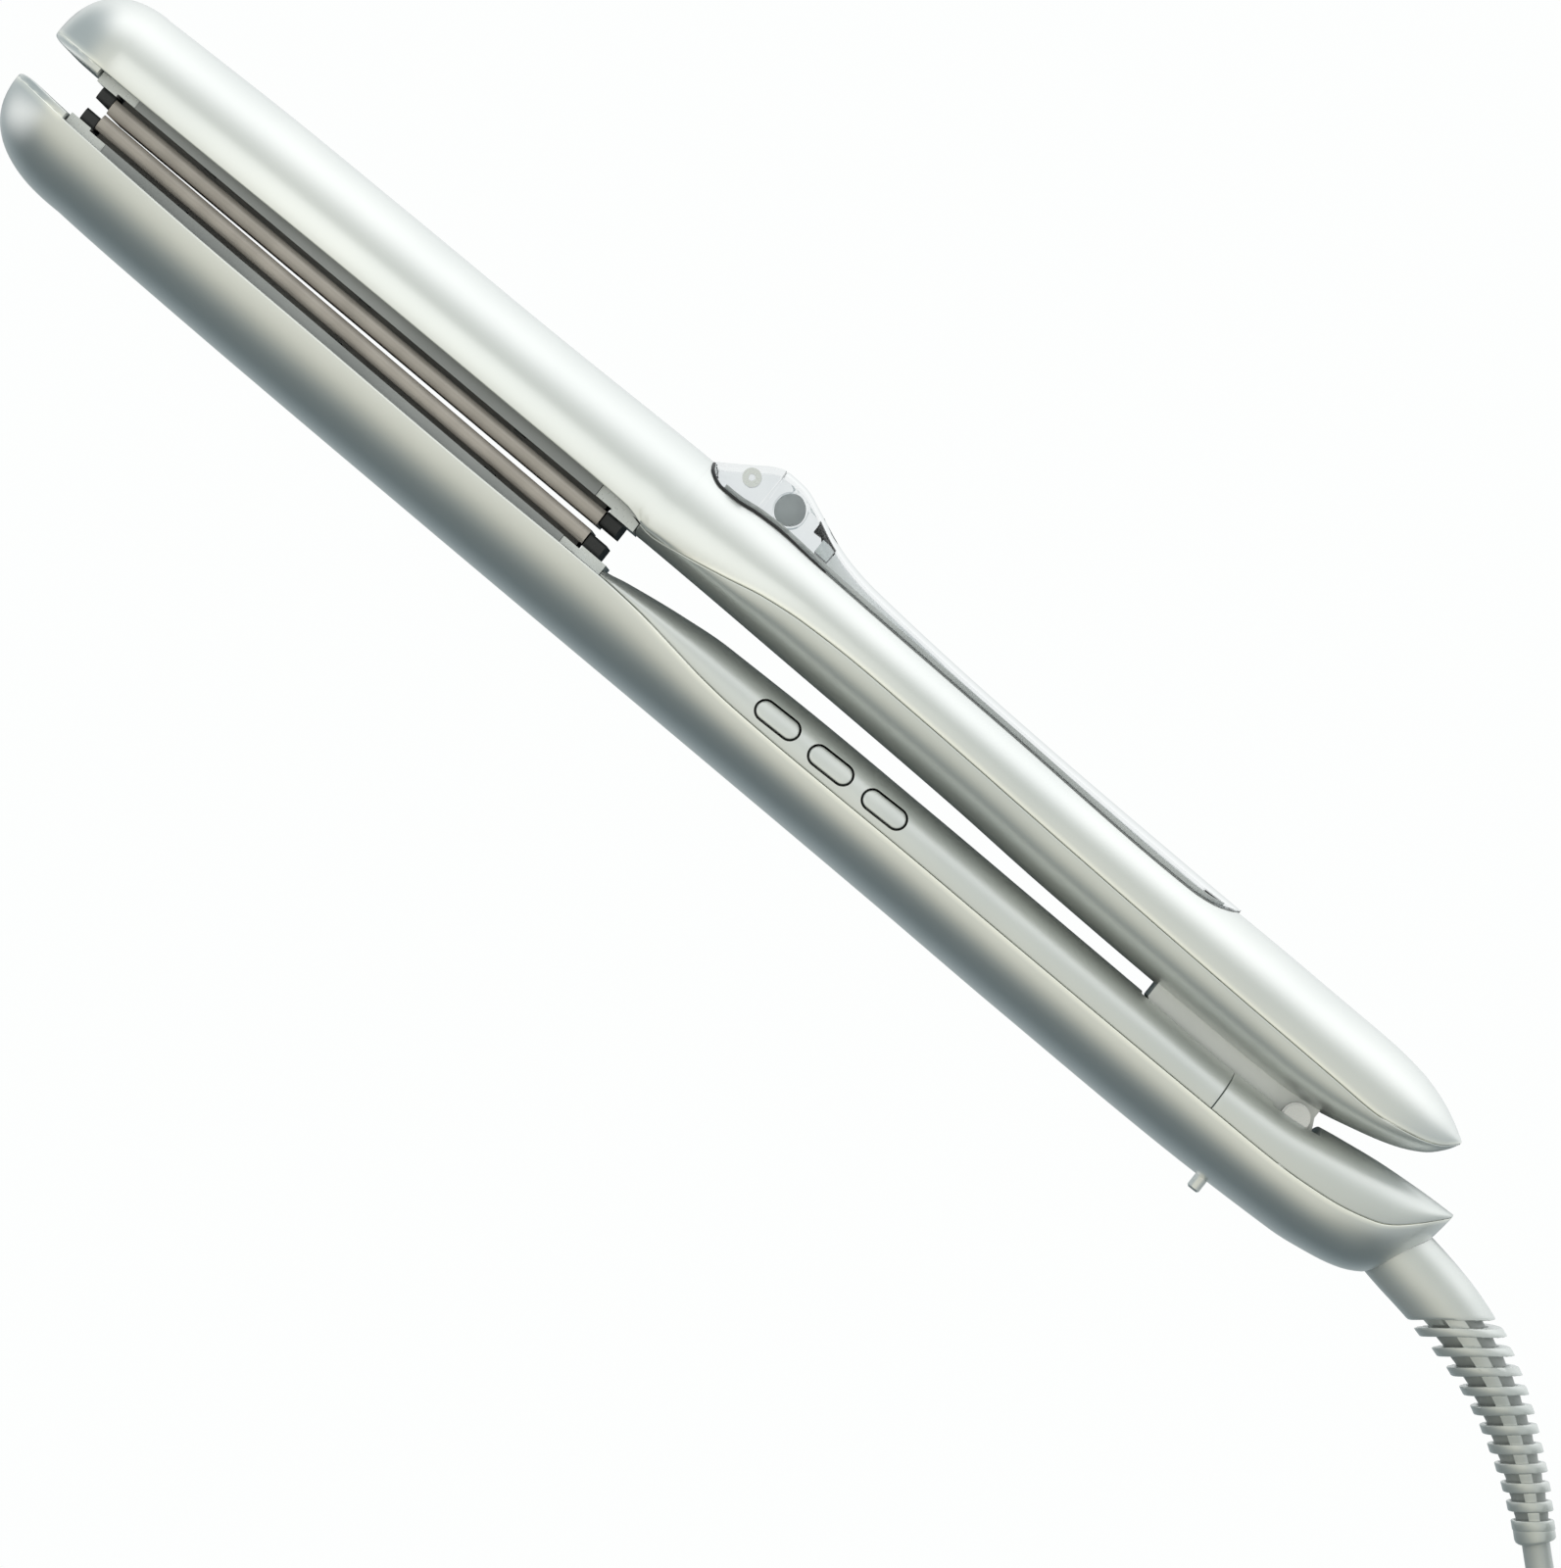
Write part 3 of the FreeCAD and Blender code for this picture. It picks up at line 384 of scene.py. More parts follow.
def heightAt(outline, x):
    last = len(outline) - 1
    x = min(max(x, outline[0][0]), outline[last][0])
    i = 0
    while i < last - 1 and x > outline[i + 1][0]:
        i += 1

    def slope(k):
        a = outline[max(k - 1, 0)]
        b = outline[k]
        c = outline[min(k + 1, last)]
        if k == 0:
            return (c[1] - b[1]) / (c[0] - b[0])
        if k == last:
            return (b[1] - a[1]) / (b[0] - a[0])
        left = (b[1] - a[1]) / (b[0] - a[0])
        right = (c[1] - b[1]) / (c[0] - b[0])
        if left * right <= 0:
            return 0.0
        return 2 * left * right / (left + right)

    x0, y0 = outline[i]
    x1, y1 = outline[i + 1]
    span = x1 - x0
    t = (x - x0) / span
    rise = (2 * t**3 - 3 * t**2 + 1) * y0 + (3 * t**2 - 2 * t**3) * y1
    return rise + span * ((t**3 - 2 * t**2 + t) * slope(i) + (t**3 - t**2) * slope(i + 1))


def rounded(share, power):
    share = min(max(share, 0.0), 1.0)
    return (1 - (1 - share) ** power) ** (1 / power)


def upperHigh(x):
    if x < 14.75:
        return 10.8 + 13.9 * rounded((x - 0.75) / 14.0, 2.4)
    return heightAt(upperTop, x)


def lowerLow(x):
    if x < 20.0:
        return 0.6 - 14.25 * rounded(x / 20.0, 2.4)
    return heightAt(lowerBottom, x)


upperArm = {
    "tip": 0.75, "end": 313.2, "powers": (casing["innerPower"], casing["outerPower"]),
    "low": lambda x: heightAt(upperBottom, x), "high": upperHigh,
    "wide": lambda x: heightAt(upperWide, x), "seam": lambda x: heightAt(upperSeam, x),
}
lowerArm = {
    "tip": 0.0, "end": 320.0, "powers": (casing["outerPower"], casing["innerPower"]),
    "low": lowerLow, "high": lambda x: heightAt(lowerTop, x),
    "wide": lambda x: heightAt(lowerSeam[1:-1], x), "seam": lambda x: heightAt(lowerSeam, x),
}


def sectionAt(arm, x, inset=0.0):
    middle = (arm["tip"] + arm["end"]) / 2
    source = x - inset * min(max((middle - x) / 60.0, -1.0), 1.0)
    half = midZ * min(
        rounded((source - arm["tip"]) / casing["nose"], 2.3),
        rounded((arm["end"] - source) / casing["tail"], 2.4),
    )
    low = arm["low"](source) + inset
    high = arm["high"](source) - inset
    wide = arm["wide"](source)
    if high < low + 0.02:
        low = high = (high + low) / 2
    wide = min(max(wide, low + 0.01), max(high - 0.01, low + 0.01))
    return {
        "low": low, "wide": wide, "high": high, "half": max(half - inset, 0.0),
        "powers": arm["powers"],
    }


def angleAt(section, y):
    upper = y > section["wide"]
    reach = section["high"] - section["wide"] if upper else section["wide"] - section["low"]
    share = min(abs(y - section["wide"]) / max(reach, 0.001), 1.0)
    angle = math.asin(share ** (section["powers"][1 if upper else 0] / 2))
    return angle if upper else -angle


def pointAt(section, angle):
    upper = angle > 0
    power = section["powers"][1 if upper else 0]
    reach = section["high"] - section["wide"] if upper else section["wide"] - section["low"]
    y = section["wide"] + math.copysign(abs(math.sin(angle)) ** (2 / power), angle) * reach
    return Vector((y, section["half"] * max(math.cos(angle), 0.0) ** (2 / power)))


def halfOutline(section, start, end, spans, ease=1.0):
    points = []
    for k in range(spans + 1):
        points.append(pointAt(section, start + (end - start) * (k / spans) ** ease))
    return points


def lippedEnd(points, centre, radius, steps):
    last = points[-1]
    run = (last - points[-2]).normalized()
    inward = Vector((-run.y, run.x))
    if inward.dot(centre - last) < 0:
        inward = -inward
    start = last - run * radius
    kept = [p for p in points[:-1] if (last - p).length > radius * 1.2] or [points[0]]
    turned = [start]
    for k in range(1, steps + 1):
        angle = math.pi / 2 * k / steps
        turned.append(start + inward * radius * (1 - math.cos(angle)) + run * radius * math.sin(angle))
    while len(kept) < len(points) - 1:
        kept.append(kept[-1].lerp(start, 0.5))
    return kept + turned


def endDrop(x, cuts, radius):
    # How far the skin sinks at x, next to a cut end.
    drop = 0.0
    for cut in cuts:
        away = abs(x - cut)
        if away < radius:
            drop = max(drop, radius - math.sqrt(radius**2 - (radius - away) ** 2))
    return drop


def panelProfile(arm, x, panel):
    # Outer and inner points of half a section: from the seam to the far edge or the middle line.
    drop = endDrop(x, panel["cuts"], casing["lip"])
    outerSection = sectionAt(arm, x, drop)
    innerSection = sectionAt(arm, x, casing["wall"])
    seamY = arm["seam"](x) + panel["side"] * casing["gap"] / 2
    start = angleAt(outerSection, seamY)
    end = panel["side"] * math.pi / 2
    edge = panel["edge"](x) if panel["edge"] else None
    isOpen = edge is not None and edge < outerSection["high"] - 0.01
    if isOpen:
        end = angleAt(outerSection, edge)
    centre = Vector((outerSection["wide"] + panel["side"] * 2.0, 0.0))
    lip = min(casing["lip"], outerSection["half"] / 4)
    outer = halfOutline(outerSection, start, end, casing["spans"], casing["ease"])
    steps = casing["lipSpans"]
    outer.reverse()
    outer = lippedEnd(outer, centre, lip, steps)
    outer.reverse()
    if isOpen:
        outer = lippedEnd(outer, centre, lip, steps)
    else:
        outer = outer + [outer[-1]] * steps
    hollow = rounded((x - casing["solidNose"]) / 0.6, 2) if panel["solidNose"] else 1.0
    hollow = min(hollow, rounded((arm["end"] - casing["solidTail"] - x) / 0.6, 2))
    innerStart = min(max(angleAt(innerSection, seamY), -casing["innerReach"]), casing["innerReach"])
    innerEnd = panel["side"] * math.pi / 2
    if isOpen:
        inward = outer[-1] - outer[-2]
        reach = outer[-1] + inward.normalized() * (casing["wall"] - lip)
        share = min(max(reach.y, 0.0) / max(innerSection["half"], 0.01), 1.0)
        innerEnd = math.acos(share ** (innerSection["powers"][1] / 2))
    inner = halfOutline(innerSection, innerStart, innerEnd, len(outer) - 1)
    if hollow < 1:
        flat = []
        reach = outer[0].y
        for k in range(len(outer)):
            share = k / (len(outer) - 1)
            slant = math.pi / 2 * min(share / 0.5, 1.0)
            bend = min(0.9, reach / 2)
            across = reach - bend * (1 - math.cos(slant) ** 0.5)
            across *= 1 - max(share - 0.5, 0.0) * 2
            under = casing["underNose"] * rounded((x - arm["tip"]) / 5.0, 2) * math.sin(slant) ** 0.5
            if reach < 0.02 or x > casing["nose"]:
                under = 0.0
            flat.append(Vector((outer[0].x - panel["side"] * under, across)))
        inner = [a.lerp(b, hollow) for a, b in zip(flat, inner)]
    return outer, inner, isOpen


def spread(start, end, step, cuts, extra=()):
    stations = set()
    count = max(int((end - start) / step), 1)
    for k in range(count + 1):
        stations.add(round(start + (end - start) * k / count, 4))
    for cut in cuts:
        for share in (0.0, 0.04, 0.15, 0.35, 0.65, 1.0):
            for side in (-1, 1):
                x = cut + side * share * casing["lip"]
                if start <= x <= end:
                    stations.add(round(x, 4))
    for x in extra:
        stations.add(round(x, 4))
    return sorted(stations)


def edgeGlow(x, outer):
    # How much each outer point carries the painted highlight beside the seam: a pale colour and a faint glow.
    along = rounded((13.5 - x) / 2.0, 1) + rounded((x - 136.0) / 12.0, 1)
    glow = []
    far = 0.0
    for k, point in enumerate(outer):
        if k:
            far += (point - outer[k - 1]).length
        glow.append(along * max(1 - far / casing["edgeLight"], 0.0))
    return glow


def newPiece(name, points, faces, material, sharp=32.0, glow=None):
    mesh = bpy.data.meshes.new(name)
    mesh.from_pydata([atRow(*p) for p in points], [], faces)
    if glow:
        mesh.attributes.new("seamPaintedHighlight", "FLOAT", "POINT").data.foreach_set("value", glow)
    work = bmesh.new()
    work.from_mesh(mesh)
    bmesh.ops.remove_doubles(work, verts=work.verts, dist=2e-6)
    bmesh.ops.dissolve_degenerate(work, edges=work.edges, dist=1e-6)
    bmesh.ops.recalc_face_normals(work, faces=work.faces)
    work.to_mesh(mesh)
    work.free()
    mesh.shade_smooth()
    mesh.set_sharp_from_angle(angle=math.radians(sharp))
    mesh.materials.append(materials[material])
    piece = bpy.data.objects.new(name, mesh)
    bpy.context.scene.collection.objects.link(piece)
    return piece


def casePanel(name, arm, panel, material):
    points = []
    faces = []
    rows = []
    glow = []
    for x in panel["stations"]:
        outer, inner, isOpen = panelProfile(arm, x, panel)
        count = len(outer)
        base = len(points)
        for side in (1, -1):
            points += [(x, p.x, midZ + side * p.y) for p in outer]
            points += [(x, p.x, midZ + side * p.y) for p in inner]
            glow += edgeGlow(x, outer) + [0.0] * count
        rows.append((base, isOpen))
    for (a, openA), (b, openB) in zip(rows, rows[1:]):
        for side in (0, 1):
            s = side * 2 * count
            for k in range(count - 1):
                for shift in (0, count):
                    i = s + shift + k
                    faces.append((a + i, a + i + 1, b + i + 1, b + i))
            faces.append((a + s, b + s, b + s + count, a + s + count))
            if openA or openB:
                i, j = s + count - 1, s + 2 * count - 1
                faces.append((a + i, a + j, b + j, b + i))
    for base, wanted in ((rows[0][0], panel["capStart"]), (rows[-1][0], panel["capEnd"])):
        if not wanted:
            continue
        for side in (0, 1):
            s = base + side * 2 * count
            for k in range(count - 1):
                faces.append((s + k, s + k + 1, s + count + k + 1, s + count + k))
    return newPiece(name, points, faces, material, glow=glow)


def boxCutter(low, high):
    x0, y0, z0 = low
    x1, y1, z1 = high
    points = [(x, y, z) for x in (x0, x1) for y in (y0, y1) for z in (z0, z1)]
    faces = [(0, 1, 3, 2), (4, 6, 7, 5), (0, 4, 5, 1), (2, 3, 7, 6), (0, 2, 6, 4), (1, 5, 7, 3)]
    return points, faces


def prismCutter(outline, z0, z1):
    count = len(outline)
    points = [(x, y, z) for z in (z0, z1) for x, y in outline]
    faces = [tuple(range(count)), tuple(range(2 * count - 1, count - 1, -1))]
    for k in range(count):
        n = (k + 1) % count
        faces.append((k, n, n + count, k + count))
    return points, faces


def rodCutter(base, axis, length, radius, spans=48):
    axis = Vector(axis).normalized()
    across = axis.cross(Vector((0.0, 0.0, 1.0)))
    if across.length < 0.1:
        across = axis.cross(Vector((1.0, 0.0, 0.0)))
    across.normalize()
    over = axis.cross(across)
    points = []
    for along in (0.0, length):
        for k in range(spans):
            turn = 2 * math.pi * k / spans
            p = Vector(base) + axis * along + (across * math.cos(turn) + over * math.sin(turn)) * radius
            points.append(tuple(p))
    faces = [tuple(range(spans)), tuple(range(2 * spans - 1, spans - 1, -1))]
    for k in range(spans):
        n = (k + 1) % spans
        faces.append((k, n, n + spans, k + spans))
    return points, faces


def pillOutline(x, y, length, height, spans=14):
    outline = []
    flat = length / 2 - height / 2
    for side in (1, -1):
        for k in range(spans + 1):
            turn = side * math.pi / 2 - math.pi * k / spans if side > 0 else -math.pi / 2 - math.pi * k / spans
            outline.append((x + side * flat + height / 2 * math.cos(turn), y + height / 2 * math.sin(turn)))
    return outline


# Cut walls can take their own material; the button holes use it for painted shade.
def combine(piece, cutters, operation="DIFFERENCE", sharp=32.0, cutWallShade=None):
    if cutWallShade:
        piece.data.materials.append(materials[cutWallShade])
    for points, faces in cutters:
        mesh = bpy.data.meshes.new("cutter")
        mesh.from_pydata([atRow(*p) for p in points], [], faces)
        work = bmesh.new()
        work.from_mesh(mesh)
        bmesh.ops.recalc_face_normals(work, faces=work.faces)
        work.to_mesh(mesh)
        work.free()
        for kept in piece.data.materials:
            mesh.materials.append(kept)
        for face in mesh.polygons:
            face.material_index = len(mesh.materials) - 1
        cutter = bpy.data.objects.new("cutter", mesh)
        bpy.context.scene.collection.objects.link(cutter)
        modifier = piece.modifiers.new("cut", "BOOLEAN")
        modifier.operation = operation
        modifier.solver = "EXACT"
        modifier.object = cutter
        graph = bpy.context.evaluated_depsgraph_get()
        result = bpy.data.meshes.new_from_object(piece.evaluated_get(graph))
        piece.modifiers.remove(modifier)
        old = piece.data
        piece.data = result
        bpy.data.meshes.remove(old)
        bpy.data.objects.remove(cutter)
        bpy.data.meshes.remove(mesh)
    piece.data.shade_smooth()
    piece.data.set_sharp_from_angle(angle=math.radians(sharp))
    return piece


def noseStations(tip, length, spans):
    return [tip + length * (1 - math.cos(math.pi / 2 * k / spans)) for k in range(spans + 1)]


def tailStations(end, length, spans):
    return [end - length * (1 - math.cos(math.pi / 2 * k / spans)) for k in range(spans + 1)]


# Casings.
caseLook = {"noseSpans": 26, "tailSpans": 30, "step": 1.6, "coverStart": 134.2, "tailSplit": 274.0}
openStart = 137.32
openEnd = 257.9
edgeStations = [openStart + 0.012 * k * k for k in range(0, 26)]
edgeStations += [openEnd - 0.012 * k * k for k in range(0, 20)]


def tankOpening(x):
    if x <= openStart or x >= openEnd:
        return 99.0
    return heightAt(tankEdge, x)


lateNose = noseStations(upperArm["tip"], 16.0, caseLook["noseSpans"])
upperTail = tailStations(upperArm["end"], 30.0, caseLook["tailSpans"])
nearHollow = [casing["solidNose"] + 0.1 * k for k in range(8)]
upperTail += [upperArm["end"] - casing["solidTail"] - 0.1 * k for k in range(8)]
upperShell = casePanel(
    "upperShell",
    upperArm,
    {
        "stations": spread(
            16.75, 283.2, caseLook["step"], (), lateNose + upperTail + nearHollow + edgeStations
        ),
        "side": 1, "edge": tankOpening, "cuts": (), "solidNose": True,
        "capStart": False, "capEnd": False,
    },
    "pearlShell",
)
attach(upperShell, "upper_arm")
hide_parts("upper_outer_shell")
upperCover = casePanel(
    "upperCover",
    upperArm,
    {
        "stations": spread(
            caseLook["coverStart"], 283.2, caseLook["step"], (caseLook["coverStart"],), upperTail
        ),
        "side": -1, "edge": None, "cuts": (caseLook["coverStart"],), "solidNose": False,
        "capStart": True, "capEnd": False,
    },
    "pearlCover",
)
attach(upperCover, "upper_arm")
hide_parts("upper_inner_cover")
lowerNose = noseStations(lowerArm["tip"], 20.0, caseLook["noseSpans"])
lowerTail = tailStations(lowerArm["end"], 30.0, caseLook["tailSpans"])
lowerTail += [lowerArm["end"] - casing["solidTail"] - 0.1 * k for k in range(8)]
lowerShell = casePanel(
    "lowerShell",
    lowerArm,
    {
        "stations": spread(20.0, 290.0, caseLook["step"], (), lowerNose + lowerTail + nearHollow),
        "side": -1, "edge": None, "cuts": (), "solidNose": True,
        "capStart": False, "capEnd": False,
    },
    "pearlShell",
)
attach(lowerShell, "lower_arm")
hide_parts("lower_outer_shell")
split = caseLook["tailSplit"]
early = split - casing["gap"] * 1.5
lowerCover = casePanel(
    "lowerCover",
    lowerArm,
    {
        "stations": spread(
            caseLook["coverStart"], early, caseLook["step"], (caseLook["coverStart"], early)
        ),
        "side": 1, "edge": None, "cuts": (caseLook["coverStart"], early), "solidNose": False,
        "capStart": True, "capEnd": True,
    },
    "pearlCover",
)
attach(lowerCover, "lower_arm")
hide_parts("lower_inner_cover")
tailCover = casePanel(
    "tailCover",
    lowerArm,
    {
        "stations": spread(split, 290.0, caseLook["step"], (split,), lowerTail),
        "side": 1, "edge": None, "cuts": (split,), "solidNose": False,
        "capStart": True, "capEnd": False,
    },
    "pearlCover",
)
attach(tailCover, "lower_arm")
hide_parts("lower_tail_cover")
print("casings skinned")

holes = {
    "buttons": ((173.8, -5.6), (185.8, -6.05), (197.8, -6.3)),
    "length": 9.4, "height": 4.1, "floor": 28.9,
    "lockX": 281.35, "lockRadius": 1.35,
    "swivelRoot": (317.6, -11.75, 17.0), "swivelTilt": -8.0, "swivelRadius": 6.8,
}
buttonCuts = []
for x, y in holes["buttons"]:
    outline = pillOutline(x, y, holes["length"], holes["height"])
    buttonCuts.append(prismCutter(outline, holes["floor"], 40.0))
neckSlot = boxCutter((252.8, -12.0, midZ - 8.0), (292.2, 0.0, midZ + 8.0))
lugSlot = boxCutter((282.4, -11.5, midZ - 10.6), (292.2, 0.5, midZ + 10.6))
tilt = math.radians(holes["swivelTilt"])
swivelAxis = Vector((math.cos(tilt), math.sin(tilt), 0.0))
swivelBase = Vector(holes["swivelRoot"]) - swivelAxis * 9.0
swivelCut = rodCutter(swivelBase, swivelAxis, 23.0, holes["swivelRadius"])
lockCut = rodCutter((holes["lockX"], -30.0, midZ), (0, 1, 0), 12.0, holes["lockRadius"])
# The walls of the button holes are near-black: painted shade in the recesses.
combine(lowerCover, buttonCuts, cutWallShade="slotShade")
combine(lowerCover, [neckSlot])
combine(tailCover, [neckSlot, lugSlot, swivelCut])
combine(lowerShell, [lockCut, swivelCut])
print("holes cut")

# Buttons: pill caps whose tops follow the casing, with painted shade round their sides.
buttonLook = {"length": 8.7, "height": 3.4, "proud": 0.12, "round": 0.35, "foot": 29.6, "steps": 4}
buttonNodes = ("power_button", "mode_button", "heat_button")


def buttonMesh(x, y, look):
    points = []
    faces = []
    rings = []
    for k in range(look["steps"] + 1):
        turn = math.pi / 2 * k / look["steps"]
        rings.append((look["round"] * (1 - math.sin(turn)), look["round"] * (1 - math.cos(turn))))
    rings = [(0.0, None), (0.0, look["round"])] + [(a, b) for b, a in rings[1:]]
    rings += [(look["height"] * share, 0.0) for share in (0.2, 0.32, 0.42)]
    for inset, sink in rings:
        outline = pillOutline(x, y, look["length"] - 2 * inset, look["height"] - 2 * inset)
        for px, py in outline:
            section = sectionAt(lowerArm, px)
            top = midZ + pointAt(section, angleAt(section, py)).y + look["proud"]
            points.append((px, py, look["foot"] if sink is None else top - sink))
    count = len(outline)
    for r in range(len(rings) - 1):
        for k in range(count):
            n = (k + 1) % count
            a, b = r * count, (r + 1) * count
            faces.append((a + k, a + n, b + n, b + k))
    faces.append(tuple(range(count - 1, -1, -1)))
    last = (len(rings) - 1) * count
    faces.append(tuple(range(last, last + count)))
    return points, faces


for (x, y), node in zip(holes["buttons"], buttonNodes):
    title = node.split("_")[0] + "Cap"
    cap = newPiece(title, *buttonMesh(x, y, buttonLook), "buttonPearl", 50.0)
    # The caps' steep sides take the same near-black material: painted shade in the gap round each button.
    cap.data.materials.append(materials["slotShade"])
    for face in cap.data.polygons:
        if abs(face.normal.z) < 0.3:
            face.material_index = 1
    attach(cap, node)
    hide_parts(node)
print("buttons built")

# Strain relief: a sleeve, rings on a ribbed core, and a collar, along its own smooth line.
reliefLook = {
    "sleeve": ((-6.0, 6.2), (0.0, 6.4), (6.0, 6.45), (14.0, 6.3)),
    "sleeveEnd": 13.8, "rings": 11, "ringThick": 1.95, "ringAt": 16.6, "pitch": 4.35,
    "pitchFall": 0.085, "ringStart": 6.4, "ringFall": 2.6, "coreStart": 4.2, "coreEnd": 2.8,
    "collar": 3.7, "collarLong": 2.4, "around": 96, "facing": -51.72, "rib": 15.0, "ribRise": 0.72,
}


def linePoints(line):
    mesh = bpy.data.meshes.new_from_object(line)
    points = [v.co.copy() / millimetre for v in mesh.vertices]
    bpy.data.meshes.remove(mesh)
    return points


reliefGuide = nurbsLine("reliefGuide", reliefRoute)
guide = linePoints(reliefGuide)
bpy.data.objects.remove(reliefGuide)
ahead = (guide[1] - guide[0]).normalized()
guide = [guide[0] - ahead * 8.0] + guide
lengths = [-8.0]
for a, b in zip(guide, guide[1:]):
    lengths.append(lengths[-1] + (b - a).length)
reliefLong = lengths[-1]
last = (guide[-1] - guide[-2]).normalized()
guide.append(guide[-1] + last * 6.0)
lengths.append(reliefLong + 6.0)


def guideAt(distance):
    i = 0
    while i < len(lengths) - 2 and distance > lengths[i + 1]:
        i += 1
    share = (distance - lengths[i]) / (lengths[i + 1] - lengths[i])
    point = guide[i].lerp(guide[i + 1], share)
    before = guide[max(i - 1, 0)]
    after = guide[min(i + 2, len(guide) - 1)]
    return point, (after - before).normalized()


facing = Vector((math.cos(math.radians(reliefLook["facing"])), math.sin(math.radians(reliefLook["facing"])), 0))


def reliefRadius(distance, look):
    share = min(max((distance - look["sleeveEnd"]) / (reliefLong - look["sleeveEnd"]), 0.0), 1.0)
    return look["coreStart"] + (look["coreEnd"] - look["coreStart"]) * share


def reliefProfile(look):
    # Distance, radius, and how much of the ribs shows.
    end = look["sleeveEnd"]
    rows = []
    for k in range(25):
        distance = -6.0 + (end + 5.4) * k / 24
        rows.append((distance, heightAt(look["sleeve"], distance), 0))
    rows += [(end - 0.5, 6.3, 0), (end - 0.15, 6.22, 0), (end, 6.0, 0), (end + 0.01, 5.2, 0)]
    rows += [(end + 0.02, reliefRadius(end, look), 1)]
    at = look["ringAt"]
    half = look["ringThick"] / 2
    for k in range(look["rings"]):
        radius = look["ringStart"] - look["ringFall"] * (k / (look["rings"] - 1)) ** 0.72
        core = reliefRadius(at, look)
        rows += [(at - half - 0.5, core, 1), (at - half - 0.02, core, 1), (at - half, core + 0.4, 0)]
        rows += [(at - half, radius - 0.22, 0), (at - half + 0.07, radius - 0.07, 0)]
        rows += [(at - half + 0.22, radius, 0), (at, radius, 0), (at + half - 0.22, radius, 0)]
        rows += [(at + half - 0.07, radius - 0.07, 0), (at + half, radius - 0.22, 0)]
        rows += [(at + half, core + 0.4, 0), (at + half + 0.02, core, 1), (at + half + 0.5, core, 1)]
        at += look["pitch"] - look["pitchFall"] * k
    collar = reliefLong - look["collarLong"]
    rows += [(collar - 0.02, reliefRadius(collar, look), 1), (collar, 3.4, 0), (collar + 0.2, 3.65, 0)]
    rows += [(collar + 0.5, look["collar"], 0), (reliefLong - 0.4, look["collar"], 0)]
    rows += [(reliefLong - 0.08, 3.55, 0), (reliefLong, 3.3, 0), (reliefLong, 2.45, 0)]
    return rows


def reliefMesh(look):
    rows = reliefProfile(look)
    points = []
    faces = []
    around = look["around"]
    for distance, radius, ribs in rows:
        ramp = min(max((distance + 4.0) / 15.0, 0.0), 1.0)
        skew = ramp * ramp * (3 - 2 * ramp) * rounded((reliefLong - distance) / 3.0, 2)
        for k in range(around):
            turn = 2 * math.pi * k / around
            reach = radius
            if ribs:
                off = abs(((math.degrees(turn) + 90.0) % 180.0) - 90.0)
                step = 1 - min(max((off - look["rib"]) / 2.5, 0.0), 1.0)
                ringThere = reach * 1.42
                reach += (ringThere - reach) * look["ribRise"] * step
            centre, run = guideAt(distance)
            across = Vector((0, 0, 1)).cross(run).normalized()
            over = run.cross(across)
            offset = across * math.sin(turn) * reach + over * math.cos(turn) * reach
            shift = -offset.dot(facing) / max(run.dot(facing), 0.4) * skew
            centre, run = guideAt(distance + shift)
            across = Vector((0, 0, 1)).cross(run).normalized()
            over = run.cross(across)
            p = centre + across * math.sin(turn) * reach + over * math.cos(turn) * reach
            points.append(tuple(p))
    for r in range(len(rows) - 1):
        for k in range(around):
            n = (k + 1) % around
            a = r * around
            b = a + around
            faces.append((a + k, a + n, b + n, b + k))
    faces.append(tuple(range(around - 1, -1, -1)))
    tail = (len(rows) - 1) * around
    faces.append(tuple(range(tail, tail + around)))
    return points, faces


def rowPiece(name, points, faces, material, sharp=32.0):
    # Points already in the row's frame, in millimetres.
    shifted = [(x + originX, y + originY, z) for x, y, z in points]
    return newPiece(name, shifted, faces, material, sharp)


reliefPoints, reliefFaces = reliefMesh(reliefLook)
relief = rowPiece("strainRelief", reliefPoints, reliefFaces, "reliefGrey", 40.0)
# Faces on the core between the rings take the darker material: painted shade in the grooves.
relief.data.materials.append(materials["reliefPaintedShade"])
for face in relief.data.polygons:
    place = face.center / millimetre
    away = min((Vector(place) - guide[i]).length + 0.001 * i for i in range(len(guide)))
    along = min(range(len(guide)), key=lambda i: (Vector(place) - guide[i]).length)
    low = reliefRadius(lengths[along], reliefLook) * 1.12
    if lengths[along] > reliefLook["sleeveEnd"] - 1.0 and away < low:
        face.material_index = 1
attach(relief, "cord_swivel")
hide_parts("strain_relief")
print("relief built:", round(reliefLong, 1), "mm")

# Plug: a lofted grip with finger grooves, on its two pins.
plugLook = {
    "x": 481.0, "y": -53.6, "z": 7.0, "spans": 64, "grooveFrom": 12.0, "grooves": 5,
    "groovePitch": 2.6, "grooveDeep": 0.45, "faceLip": 0.8, "corner": 4.0,
}
plugSections = [
    (0.0, 7.5, 7.0), (3.0, 7.7, 7.2), (10.0, 9.5, 8.6), (16.0, 15.0, 10.8), (22.0, 25.0, 12.6),
    (29.0, 33.0, 13.3), (38.0, 35.0, 13.6),
]


